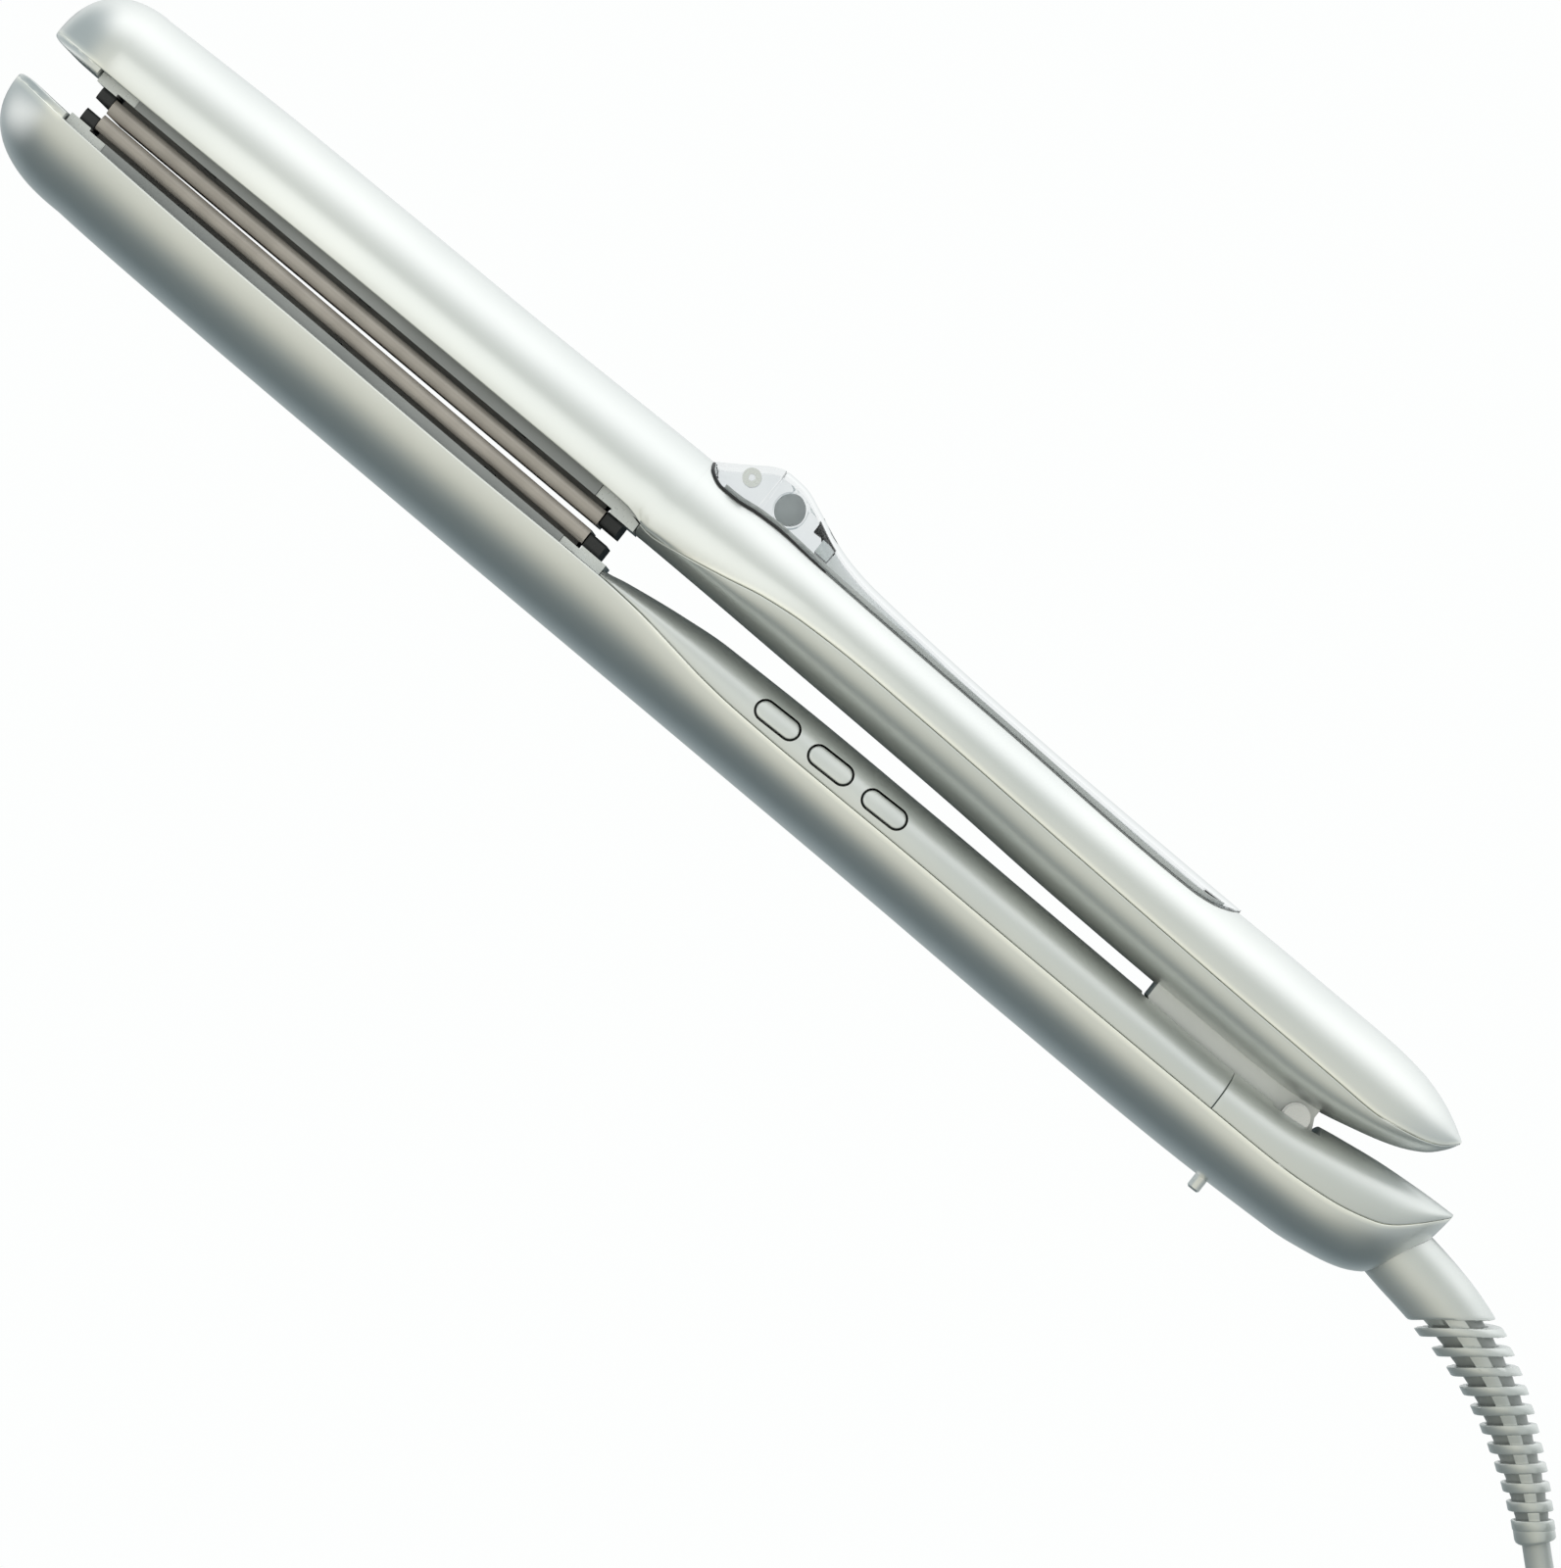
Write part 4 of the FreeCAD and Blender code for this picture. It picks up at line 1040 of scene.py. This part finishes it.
def plugMesh(look):
    widths = [(x, w) for x, w, h in plugSections]
    heights = [(x, h) for x, w, h in plugSections]
    stations = [0.0, 0.15, 0.5] + [1.0 + 0.5 * k for k in range(73)]
    long = plugSections[-1][0]
    stations += [long - 0.5, long - 0.2, long - 0.05, long]
    points = []
    for x in sorted(set(stations)):
        sink = 0.0
        for g in range(look["grooves"]):
            near = abs(x - look["grooveFrom"] - g * look["groovePitch"])
            sink = max(sink, look["grooveDeep"] * max(1 - near / 0.9, 0.0))
        edge = endDrop(x, (0.0, long), look["faceLip"])
        width = heightAt(widths, x) / 2 - sink - edge
        height = heightAt(heights, x) / 2 - sink - edge
        for k in range(look["spans"]):
            turn = 2 * math.pi * (k + 0.5) / look["spans"]
            c, s = math.cos(turn), math.sin(turn)
            y = width * math.copysign(abs(c) ** (2 / look["corner"]), c)
            z = height * math.copysign(abs(s) ** (2 / look["corner"]), s)
            points.append((look["x"] + x, look["y"] + y, look["z"] + z))
    rows = len(points) // look["spans"]
    faces = []
    for r in range(rows - 1):
        for k in range(look["spans"]):
            n = (k + 1) % look["spans"]
            a = r * look["spans"]
            b = a + look["spans"]
            faces.append((a + k, a + n, b + n, b + k))
    faces.append(tuple(range(look["spans"] - 1, -1, -1)))
    end = (rows - 1) * look["spans"]
    faces.append(tuple(range(end, end + look["spans"])))
    return points, faces


plug = newPiece("plugGrip", *plugMesh(plugLook), "cordGrey", 40.0)
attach(plug, "cord_swivel")
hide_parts("plug_body")

# Tie: one woven strap around the bundle.
tieLook = {
    "x": 425.0, "inner": -8.45, "outer": 22.75, "bottom": 0.0, "top": 21.9, "thick": 0.7,
    "width": 10.0, "corner": 3.0, "spans": 8,
}
tieLook["inner"] = -22.0 + math.sqrt(20.725**2 - 25.0) - 0.85
tieLook["outer"] = -22.0 + 28.5 + 9.175 + 0.85


def tieMesh(look):
    inset = look["thick"] / 2
    y0, y1 = look["inner"] + inset, look["outer"] - inset
    z0, z1 = look["bottom"] + inset, look["top"] - inset - 0.25
    corner = look["corner"]
    path = []
    for cy, cz, start in (
        (y1 - corner, z1 - corner, 0), (y0 + corner, z1 - corner, 90),
        (y0 + corner, z0 + corner, 180), (y1 - corner, z0 + corner, 270),
    ):
        for k in range(look["spans"] + 1):
            turn = math.radians(start + 90 * k / look["spans"])
            path.append((cy + corner * math.cos(turn), cz + corner * math.sin(turn)))
    points = []
    faces = []
    across = [(-0.5, 0.3), (-0.48, 0.46), (-0.4, 0.5), (0, 0.5), (0.4, 0.5), (0.48, 0.46), (0.5, 0.3)]
    ring = [(u, v) for u, v in across] + [(-u, -v) for u, v in across]
    middleY = (y0 + y1) / 2
    middleZ = (z0 + z1) / 2
    count = len(path)
    for k in range(count):
        before = path[k - 1]
        after = path[(k + 1) % count]
        out = Vector((after[1] - before[1], before[0] - after[0])).normalized()
        if out.dot(Vector((path[k][0] - middleY, path[k][1] - middleZ))) < 0:
            out = -out
        for u, v in ring:
            shift = v * look["thick"]
            points.append((look["x"] + u * look["width"], path[k][0] + out.x * shift, path[k][1] + out.y * shift))
    size = len(ring)
    for k in range(count):
        n = (k + 1) % count
        for j in range(size):
            m = (j + 1) % size
            faces.append((k * size + j, k * size + m, n * size + m, n * size + j))
    return points, faces


tie = newPiece("cordTie", *tieMesh(tieLook), "tieBlack")
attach(tie, "cord_swivel")
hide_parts("cord_tie")

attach(cord, "cord_swivel")
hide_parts("cord_run", "cord_coil", "cord_tail")
exitPoint = atRow(*reliefRoute[-1])

# Water tank: two clear mouldings, hollow, edged by a dark bead of painted shade.
tankLook = {"wall": 0.8, "seat": 0.25, "capEnd": 148.2, "spans": 30, "lip": 0.3, "power": 2.2}


def shellHalfAt(x, y):
    section = sectionAt(upperArm, x)
    ratio = min((y - section["wide"]) / (section["high"] - section["wide"]), 0.998)
    return midZ * (1 - ratio ** tankLook["power"]) ** (1 / tankLook["power"])


def tankSection(x, inset):
    middle = 190.0
    source = x - inset if x < middle else x + inset
    source = min(max(source, 137.4), 257.9)
    edge = heightAt(tankEdge, source)
    high = heightAt(tankTop, source) - inset
    seat = heightAt(tankEdge, x) + tankLook["seat"]
    half = max(shellHalfAt(source, min(edge, heightAt(upperTop, source) - 0.02)) - inset, 0.0)
    return {
        "low": edge - 3.0, "wide": edge, "high": max(high, edge + 0.02), "half": half,
        "powers": (tankLook["power"], tankLook["power"]), "seat": max(seat, edge),
    }


def domePanel(name, start, end, extra, cuts, material, depth=(0.0, tankLook["wall"])):
    points = []
    faces = []
    rows = []
    stations = spread(start, end, 0.9, cuts, extra)
    for x in stations:
        drop = endDrop(x, cuts, tankLook["lip"])
        outer = tankSection(x, drop + depth[0])
        inner = tankSection(x, depth[1])
        top = math.pi / 2
        outerPoints = halfOutline(outer, min(angleAt(outer, outer["seat"]), top - 0.02), top, tankLook["spans"])
        innerSeat = min(angleAt(inner, outer["seat"]), top - 0.02)
        innerPoints = halfOutline(inner, innerSeat, top, tankLook["spans"])
        centre = Vector((outer["wide"] + 1.0, 0.0))
        outerPoints.reverse()
        outerPoints = lippedEnd(outerPoints, centre, min(tankLook["lip"], outer["half"] / 4 + 0.01), 3)
        outerPoints.reverse()
        innerPoints = innerPoints[:1] * 3 + innerPoints
        rows.append(len(points))
        count = len(outerPoints)
        for side in (1, -1):
            points += [(x, p.x, midZ + side * p.y) for p in outerPoints]
            points += [(x, p.x, midZ + side * p.y) for p in innerPoints]
    for a, b in zip(rows, rows[1:]):
        for side in (0, 1):
            s = side * 2 * count
            for k in range(count - 1):
                for shift in (0, count):
                    i = s + shift + k
                    faces.append((a + i, a + i + 1, b + i + 1, b + i))
            faces.append((a + s, b + s, b + s + count, a + s + count))
    for base in (rows[0], rows[-1]):
        for side in (0, 1):
            s = base + side * 2 * count
            for k in range(count - 1):
                faces.append((s + k, s + k + 1, s + count + k + 1, s + count + k))
    return newPiece(name, points, faces, material, 50.0)


def clearPlastic(name, look):
    material, nodes = newMaterial(name)
    place = nodes.add("ShaderNodeTexCoord", {}, {}, "Object")
    cloud = nodes.add("ShaderNodeTexNoise", {}, {"Vector": place, "Scale": look["cloud"], "Detail": 2.0})
    shade = nodes.blend(cloud.between(0.3, 0.7), look["dark"], look["light"])
    values = {"Strength": look["bump"], "Distance": look["depth"], "Height": cloud}
    height = nodes.add("ShaderNodeBump", {}, values)
    values = {
        "Base Color": shade,
        "Roughness": look["rough"] + look["uneven"] * (cloud - 0.5),
        "IOR": look["ior"],
        "Transmission Weight": look["clear"],
        "Normal": height,
    }
    finishWith(nodes, nodes.add("ShaderNodeBsdfPrincipled", {}, values))
    return material


materials["clearTank"] = clearPlastic(
    "clearTank",
    {
        "dark": (0.84, 0.86, 0.87), "light": (0.89, 0.905, 0.91), "cloud": 60.0, "bump": 0.02,
        "depth": 0.0002, "rough": 0.04, "uneven": 0.02, "ior": 1.06, "clear": 1.0,
    },
)

tankCuts = (tankLook["capEnd"],)
frontStations = [137.45 + 0.02 * k * k for k in range(16)]
backStations = [257.85 - 0.02 * k * k for k in range(14)]
capGap = 0.06
tankCap = domePanel(
    "tankFrontCap", 142.0, tankLook["capEnd"] - capGap, frontStations,
    (tankLook["capEnd"] - capGap,), "clearTank",
)
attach(tankCap, "water_tank")
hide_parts("tank_front_cap")
tankDome = domePanel(
    "tankDome", tankLook["capEnd"] + capGap, 255.2, backStations,
    (tankLook["capEnd"] + capGap,), "clearTank",
)
fillLook = {"x": 152.5, "y": 24.8, "radius": 3.0, "fit": 0.2}
fillCut = rodCutter((fillLook["x"], fillLook["y"], -2.0), (0, 0, 1), midZ, fillLook["radius"])
combine(tankDome, [fillCut], sharp=50.0)
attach(tankDome, "water_tank")

# The reservoir hangs under the dome's floor and reaches into the handle.
boxLook = {"half": 9.0, "wall": 1.3, "floorLow": 0.3, "floorHigh": 1.2, "spans": 60}
boxCorners = [(155.0, 11.2), (246.0, 11.2), (246.0, 17.0), (155.0, 21.2)]


def floorPlate(look):
    points = []
    faces = []
    count = look["spans"]
    for k in range(count + 1):
        x = 141.5 + (254.5 - 141.5) * k / count
        section = tankSection(x, tankLook["wall"] + 0.05)
        half = section["half"]
        base = heightAt(tankEdge, x)
        for y in (look["floorLow"], look["floorHigh"]):
            for side in (-1, 1):
                points.append((x, base + y, midZ + side * half))
    for k in range(count):
        a, b = 4 * k, 4 * k + 4
        for i, j in ((0, 1), (1, 3), (3, 2), (2, 0)):
            faces.append((a + i, a + j, b + j, b + i))
    faces.append((0, 1, 3, 2))
    end = 4 * count
    faces.append((end, end + 2, end + 3, end + 1))
    return points, faces


wallIn = boxLook["wall"]
innerCorners = [
    (boxCorners[0][0] + wallIn, boxCorners[0][1] + wallIn),
    (boxCorners[1][0] - wallIn, boxCorners[1][1] + wallIn),
    (boxCorners[2][0] - wallIn, 26.0),
    (boxCorners[3][0] + wallIn, 26.0),
]
reservoir = newPiece("tankReservoir", *floorPlate(boxLook), "frostedTank", 40.0)
combine(
    reservoir,
    [prismCutter(boxCorners, midZ - boxLook["half"], midZ + boxLook["half"])],
    "UNION",
)
combine(
    reservoir,
    [prismCutter(innerCorners, midZ - boxLook["half"] + wallIn, midZ + boxLook["half"] - wallIn)],
)
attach(reservoir, "water_tank")
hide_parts("tank_body")

linerLook = {"start": 163.7, "end": 254.0, "depth": (0.95, 1.35)}
liner = domePanel(
    "tankLiner", linerLook["start"], linerLook["end"], (), (), "linerPale", linerLook["depth"]
)
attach(liner, "water_tank")

# Valve: a dark wedge close under the dome.
valveLook = {"front": 159.4, "back": 163.6, "under": 0.95, "deep": 1.9, "half": 4.0}
valveOutline = []
for k in range(9):
    x = valveLook["front"] + (valveLook["back"] - valveLook["front"]) * k / 8
    valveOutline.append((x, heightAt(tankTop, x) - valveLook["under"]))
for k in range(9):
    x = valveLook["back"] - (valveLook["back"] - valveLook["front"]) * k / 8
    deep = valveLook["deep"] * (0.55 + 0.45 * math.sin(math.pi * k / 8))
    valveOutline.append((x, heightAt(tankTop, x) - valveLook["under"] - deep))
valve = newPiece(
    "tankValve",
    *prismCutter(valveOutline, midZ - valveLook["half"], midZ + valveLook["half"]),
    "valveDark",
)
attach(valve, "water_tank")

# Painted shade: a thin dark bead standing in for the shadow in the gap between the tank and the casing, thicker
# at the front.
gapShadeLook = {"front": 0.34, "back": 0.1, "thinFrom": 154.0, "thinTo": 168.0, "around": 10}


def gapShadeMesh(look):
    xs = sorted(set([137.45 + 0.02 * k * k for k in range(14)] + [142.0 + 1.5 * k for k in range(76)] +
                    [257.8 - 0.02 * k * k for k in range(12)]))
    xs = [x for x in xs if x <= 257.8]
    path = []
    for side in (1, -1):
        for x in xs if side > 0 else reversed(xs):
            y = heightAt(tankEdge, x)
            half = shellHalfAt(x, min(y, heightAt(upperTop, x) - 0.02))
            share = min(max((x - look["thinFrom"]) / (look["thinTo"] - look["thinFrom"]), 0.0), 1.0)
            bead = look["front"] + (look["back"] - look["front"]) * share
            rise = bead / 3
            path.append((Vector((x, y + rise, midZ + side * (half - bead * 0.25))), bead))
    points = []
    faces = []
    count = len(path)
    for k in range(count):
        centre, bead = path[k]
        run = (path[(k + 1) % count][0] - path[k - 1][0]).normalized()
        across = Vector((0, 1, 0)).cross(run)
        if across.length < 0.2:
            across = Vector((0, 0, 1))
        across.normalize()
        over = run.cross(across)
        for j in range(look["around"]):
            turn = 2 * math.pi * j / look["around"]
            points.append(tuple(centre + (across * math.cos(turn) + over * math.sin(turn)) * bead))
    for k in range(count):
        n = (k + 1) % count
        for j in range(look["around"]):
            m = (j + 1) % look["around"]
            a, b = k * look["around"], n * look["around"]
            faces.append((a + j, a + m, b + m, b + j))
    return points, faces


gapShadeBead = newPiece("tankGapShade", *gapShadeMesh(gapShadeLook), "sealRubber", 60.0)
gapShadeBead.data.materials.append(materials["gapShadePale"])
# Towards the back the bead turns paler grey: the painted shade is lighter there.
for face in gapShadeBead.data.polygons:
    if face.center.x / millimetre + originX > gapShadeLook["thinTo"] - 4.0:
        face.material_index = 1
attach(gapShadeBead, "upper_arm")
print("tank built")

# Finishes of the parts that keep their shape.
keptFinishes = {
    "neckPlastic": ("hinge_neck",),
    "palePlastic": (
        "upper_front_cap", "upper_rear_cap", "lower_front_cap", "lower_rear_cap", "tank_tray",
        "tank_divider", "vent_boss", "tank_latch", "outlet_spigot", "pump", "terminal_block",
        "swivel_housing", "swivel_core", "button_switches",
    ),
    "pearlShell": ("lock_pin",),
    "carrierPlastic": ("upper_plate_carrier", "lower_plate_carrier"),
    "plateCeramic": ("upper_plate", "lower_plate"),
    "heaterCeramic": ("upper_heater", "lower_heater"),
    "padRubber": ("upper_end_pads", "lower_end_pads", "upper_plate_stops", "lower_plate_stops"),
    "hingeSteel": (
        "hinge_pin", "hinge_bracket", "hinge_spring", "neck_screws", "bracket_screws",
    ),
    "bushBrass": ("hinge_bushes",),
    "chamberMetal": ("steam_chamber",),
    "tubeSilicone": ("feed_tube",),
    "boardGreen": ("control_board",),
    "valveDark": ("tank_valve", "tank_clip"),
    "linerPale": ("filler_plug",),
}


def pinFinish(look):
    material, nodes = newMaterial("pinMetal")
    place = nodes.add("ShaderNodeTexCoord", {}, {}, "Object")
    split = nodes.add("ShaderNodeSeparateXYZ", {}, {"Vector": place}, "X")
    grain = nodes.add("ShaderNodeTexNoise", {}, {"Vector": place, "Scale": 1800.0})
    bare = split.between(look["sleeveEnd"], look["sleeveEnd"] + 0.0002)
    brass = nodes.blend(grain.between(0.3, 0.7), (0.52, 0.52, 0.53), (0.62, 0.62, 0.63))
    values = {
        "Base Color": nodes.blend(bare, (0.03, 0.03, 0.032), brass),
        "Metallic": bare,
        "Roughness": 0.45 - 0.2 * bare,
        "Normal": nodes.add("ShaderNodeBump", {}, {"Strength": 0.05, "Distance": 0.0002, "Height": grain}),
    }
    finishWith(nodes, nodes.add("ShaderNodeBsdfPrincipled", {}, values))
    return material


materials["pinMetal"] = pinFinish({"sleeveEnd": (519.0 + 10.0 - originX) * millimetre})
keptFinishes["pinMetal"] = ("plug_pins",)
for finish, names in keptFinishes.items():
    for name in names:
        for place in nodesByName[name].material_slots:
            place.material = materials[finish]
print("kept parts finished")

# Studio: a pale floor, with a dark strip of painted shade between the arms that only reflections see, and one
# soft surrounding light, bright on the upper side.
studio = {
    "reach": 9.0,
    "floor": (0.985, 0.995, 0.99),
    "shade": (0.05, 0.07, 0.078),  # painted shade: the dark strip the arms see in the floor between them
    "slant": 0.022,
    "shadeAt": 0.0005,
    "shadeEdge": (0.008, 0.015),
    "shadeEnd": (0.155, 0.175),
    "stops": (
        (0.0, (0.72, 0.75, 0.75)), (0.12, (1.0, 1.03, 1.03)), (0.24, (1.3, 1.32, 1.32)),
        (0.29, (1.16, 1.18, 1.18)), (0.34, (0.80, 0.83, 0.81)), (0.39, (0.60, 0.63, 0.595)),
        (0.45, (0.68, 0.70, 0.65)), (0.515, (0.78, 0.78, 0.70)), (0.57, (0.68, 0.68, 0.60)),
        (0.62, (0.45, 0.46, 0.41)), (0.68, (0.22, 0.25, 0.245)), (0.74, (0.11, 0.14, 0.15)),
        (0.83, (0.10, 0.135, 0.15)), (0.90, (0.24, 0.29, 0.31)), (1.0, (0.5, 0.55, 0.56)),
    ),
    "frontHigh": (0.36, 0.42, 0.44),
    "frontLow": (1.0, 1.02, 1.02),
    "backHigh": (0.52, 0.56, 0.56),
    "backLow": (0.10, 0.13, 0.14),
    "endTurn": (-0.45, 0.1),
    "endsFrom": 0.45,
    "endsTo": 0.95,
}


def studioWorld(look):
    world = bpy.data.worlds.new("studio")
    bpy.context.scene.world = world
    world.use_nodes = True
    nodes = Nodes(world.node_tree)
    way = nodes.add("ShaderNodeTexCoord", {}, {}, "Generated")
    alongX = nodes.add("ShaderNodeSeparateXYZ", {}, {"Vector": way}, "X")
    alongY = nodes.add("ShaderNodeSeparateXYZ", {}, {"Vector": way}, "Y")
    alongZ = nodes.add("ShaderNodeSeparateXYZ", {}, {"Vector": way}, "Z")
    turn = nodes.add("ShaderNodeMath", {"operation": "ARCTAN2"}, {0: -alongY, 1: alongZ})
    around = turn / (2 * math.pi) + 0.5
    glow = nodes.add("ShaderNodeValToRGB", {"stops": look["stops"]}, {"Fac": around})
    high = alongY.between(*look["endTurn"])
    front = nodes.blend(high, look["frontLow"], look["frontHigh"])
    back = nodes.blend(high, look["backLow"], look["backHigh"])
    glow = nodes.blend((-alongX).between(look["endsFrom"], look["endsTo"]), glow, front)
    glow = nodes.blend(alongX.between(look["endsFrom"], look["endsTo"]), glow, back)
    sky = nodes.add("ShaderNodeBackground", {}, {"Color": glow, "Strength": 1.0})
    nodes.add("ShaderNodeOutputWorld", {}, {"Surface": sky})


def studioFloor(look):
    size = look["reach"]
    points = [(-size, -size, 0), (size, -size, 0), (size, size, 0), (-size, size, 0)]
    mesh = bpy.data.meshes.new("studioFloor")
    mesh.from_pydata(points, [], [(0, 1, 2, 3)])
    material, nodes = newMaterial("floorPaperAndShade")
    place = nodes.add("ShaderNodeTexCoord", {}, {}, "Object")
    across = nodes.add("ShaderNodeSeparateXYZ", {}, {"Vector": place}, "Y")
    along = nodes.add("ShaderNodeSeparateXYZ", {}, {"Vector": place}, "X")
    # Reflected rays meet a dark emission strip on the line between the arms, which is painted shade, and pass
    # through the floor elsewhere. Camera and transmission rays see the even pale floor.
    beside = abs(across + look["slant"] * along + look["shadeAt"]).between(*look["shadeEdge"])
    past = abs(along).between(*look["shadeEnd"])
    open = nodes.add("ShaderNodeMath", {"operation": "MAXIMUM"}, {0: beside, 1: past})
    ray = nodes.add("ShaderNodeLightPath", {}, {}, "Is Camera Ray")
    through = nodes.add("ShaderNodeLightPath", {}, {}, "Is Transmission Ray")
    seen = nodes.add("ShaderNodeEmission", {}, {"Color": look["floor"], "Strength": 1.0})
    empty = nodes.add("ShaderNodeBsdfTransparent", {}, {"Color": (1.0, 1.0, 1.0)})
    shade = nodes.add("ShaderNodeEmission", {}, {"Color": look["shade"], "Strength": 1.0})
    clear = nodes.add("ShaderNodeMixShader", {}, {0: open, 1: shade, 2: empty})
    either = nodes.add("ShaderNodeMath", {"operation": "MAXIMUM"}, {0: ray, 1: through})
    finishWith(nodes, nodes.add("ShaderNodeMixShader", {}, {0: either, 1: clear, 2: seen}))
    mesh.materials.append(material)
    floor = bpy.data.objects.new("studioFloor", mesh)
    floor.location.z = -0.0003
    bpy.context.scene.collection.objects.link(floor)


studioWorld(studio)
studioFloor(studio)
softLight = {"power": 0.09, "size": 0.22, "place": (-0.11, 0.15, 0.42), "aim": (-0.11, 0.0, 0.0)}
lightData = bpy.data.lights.new("softLight", "AREA")
lightData.energy = softLight["power"]
lightData.size = softLight["size"]
light = bpy.data.objects.new("softLight", lightData)
light.location = softLight["place"]
aim = Vector(softLight["aim"]) - light.location
light.rotation_euler = aim.to_track_quat("-Z", "Y").to_euler()
bpy.context.scene.collection.objects.link(light)
bpy.context.scene.view_settings.view_transform = "Standard"
print("studio lit")
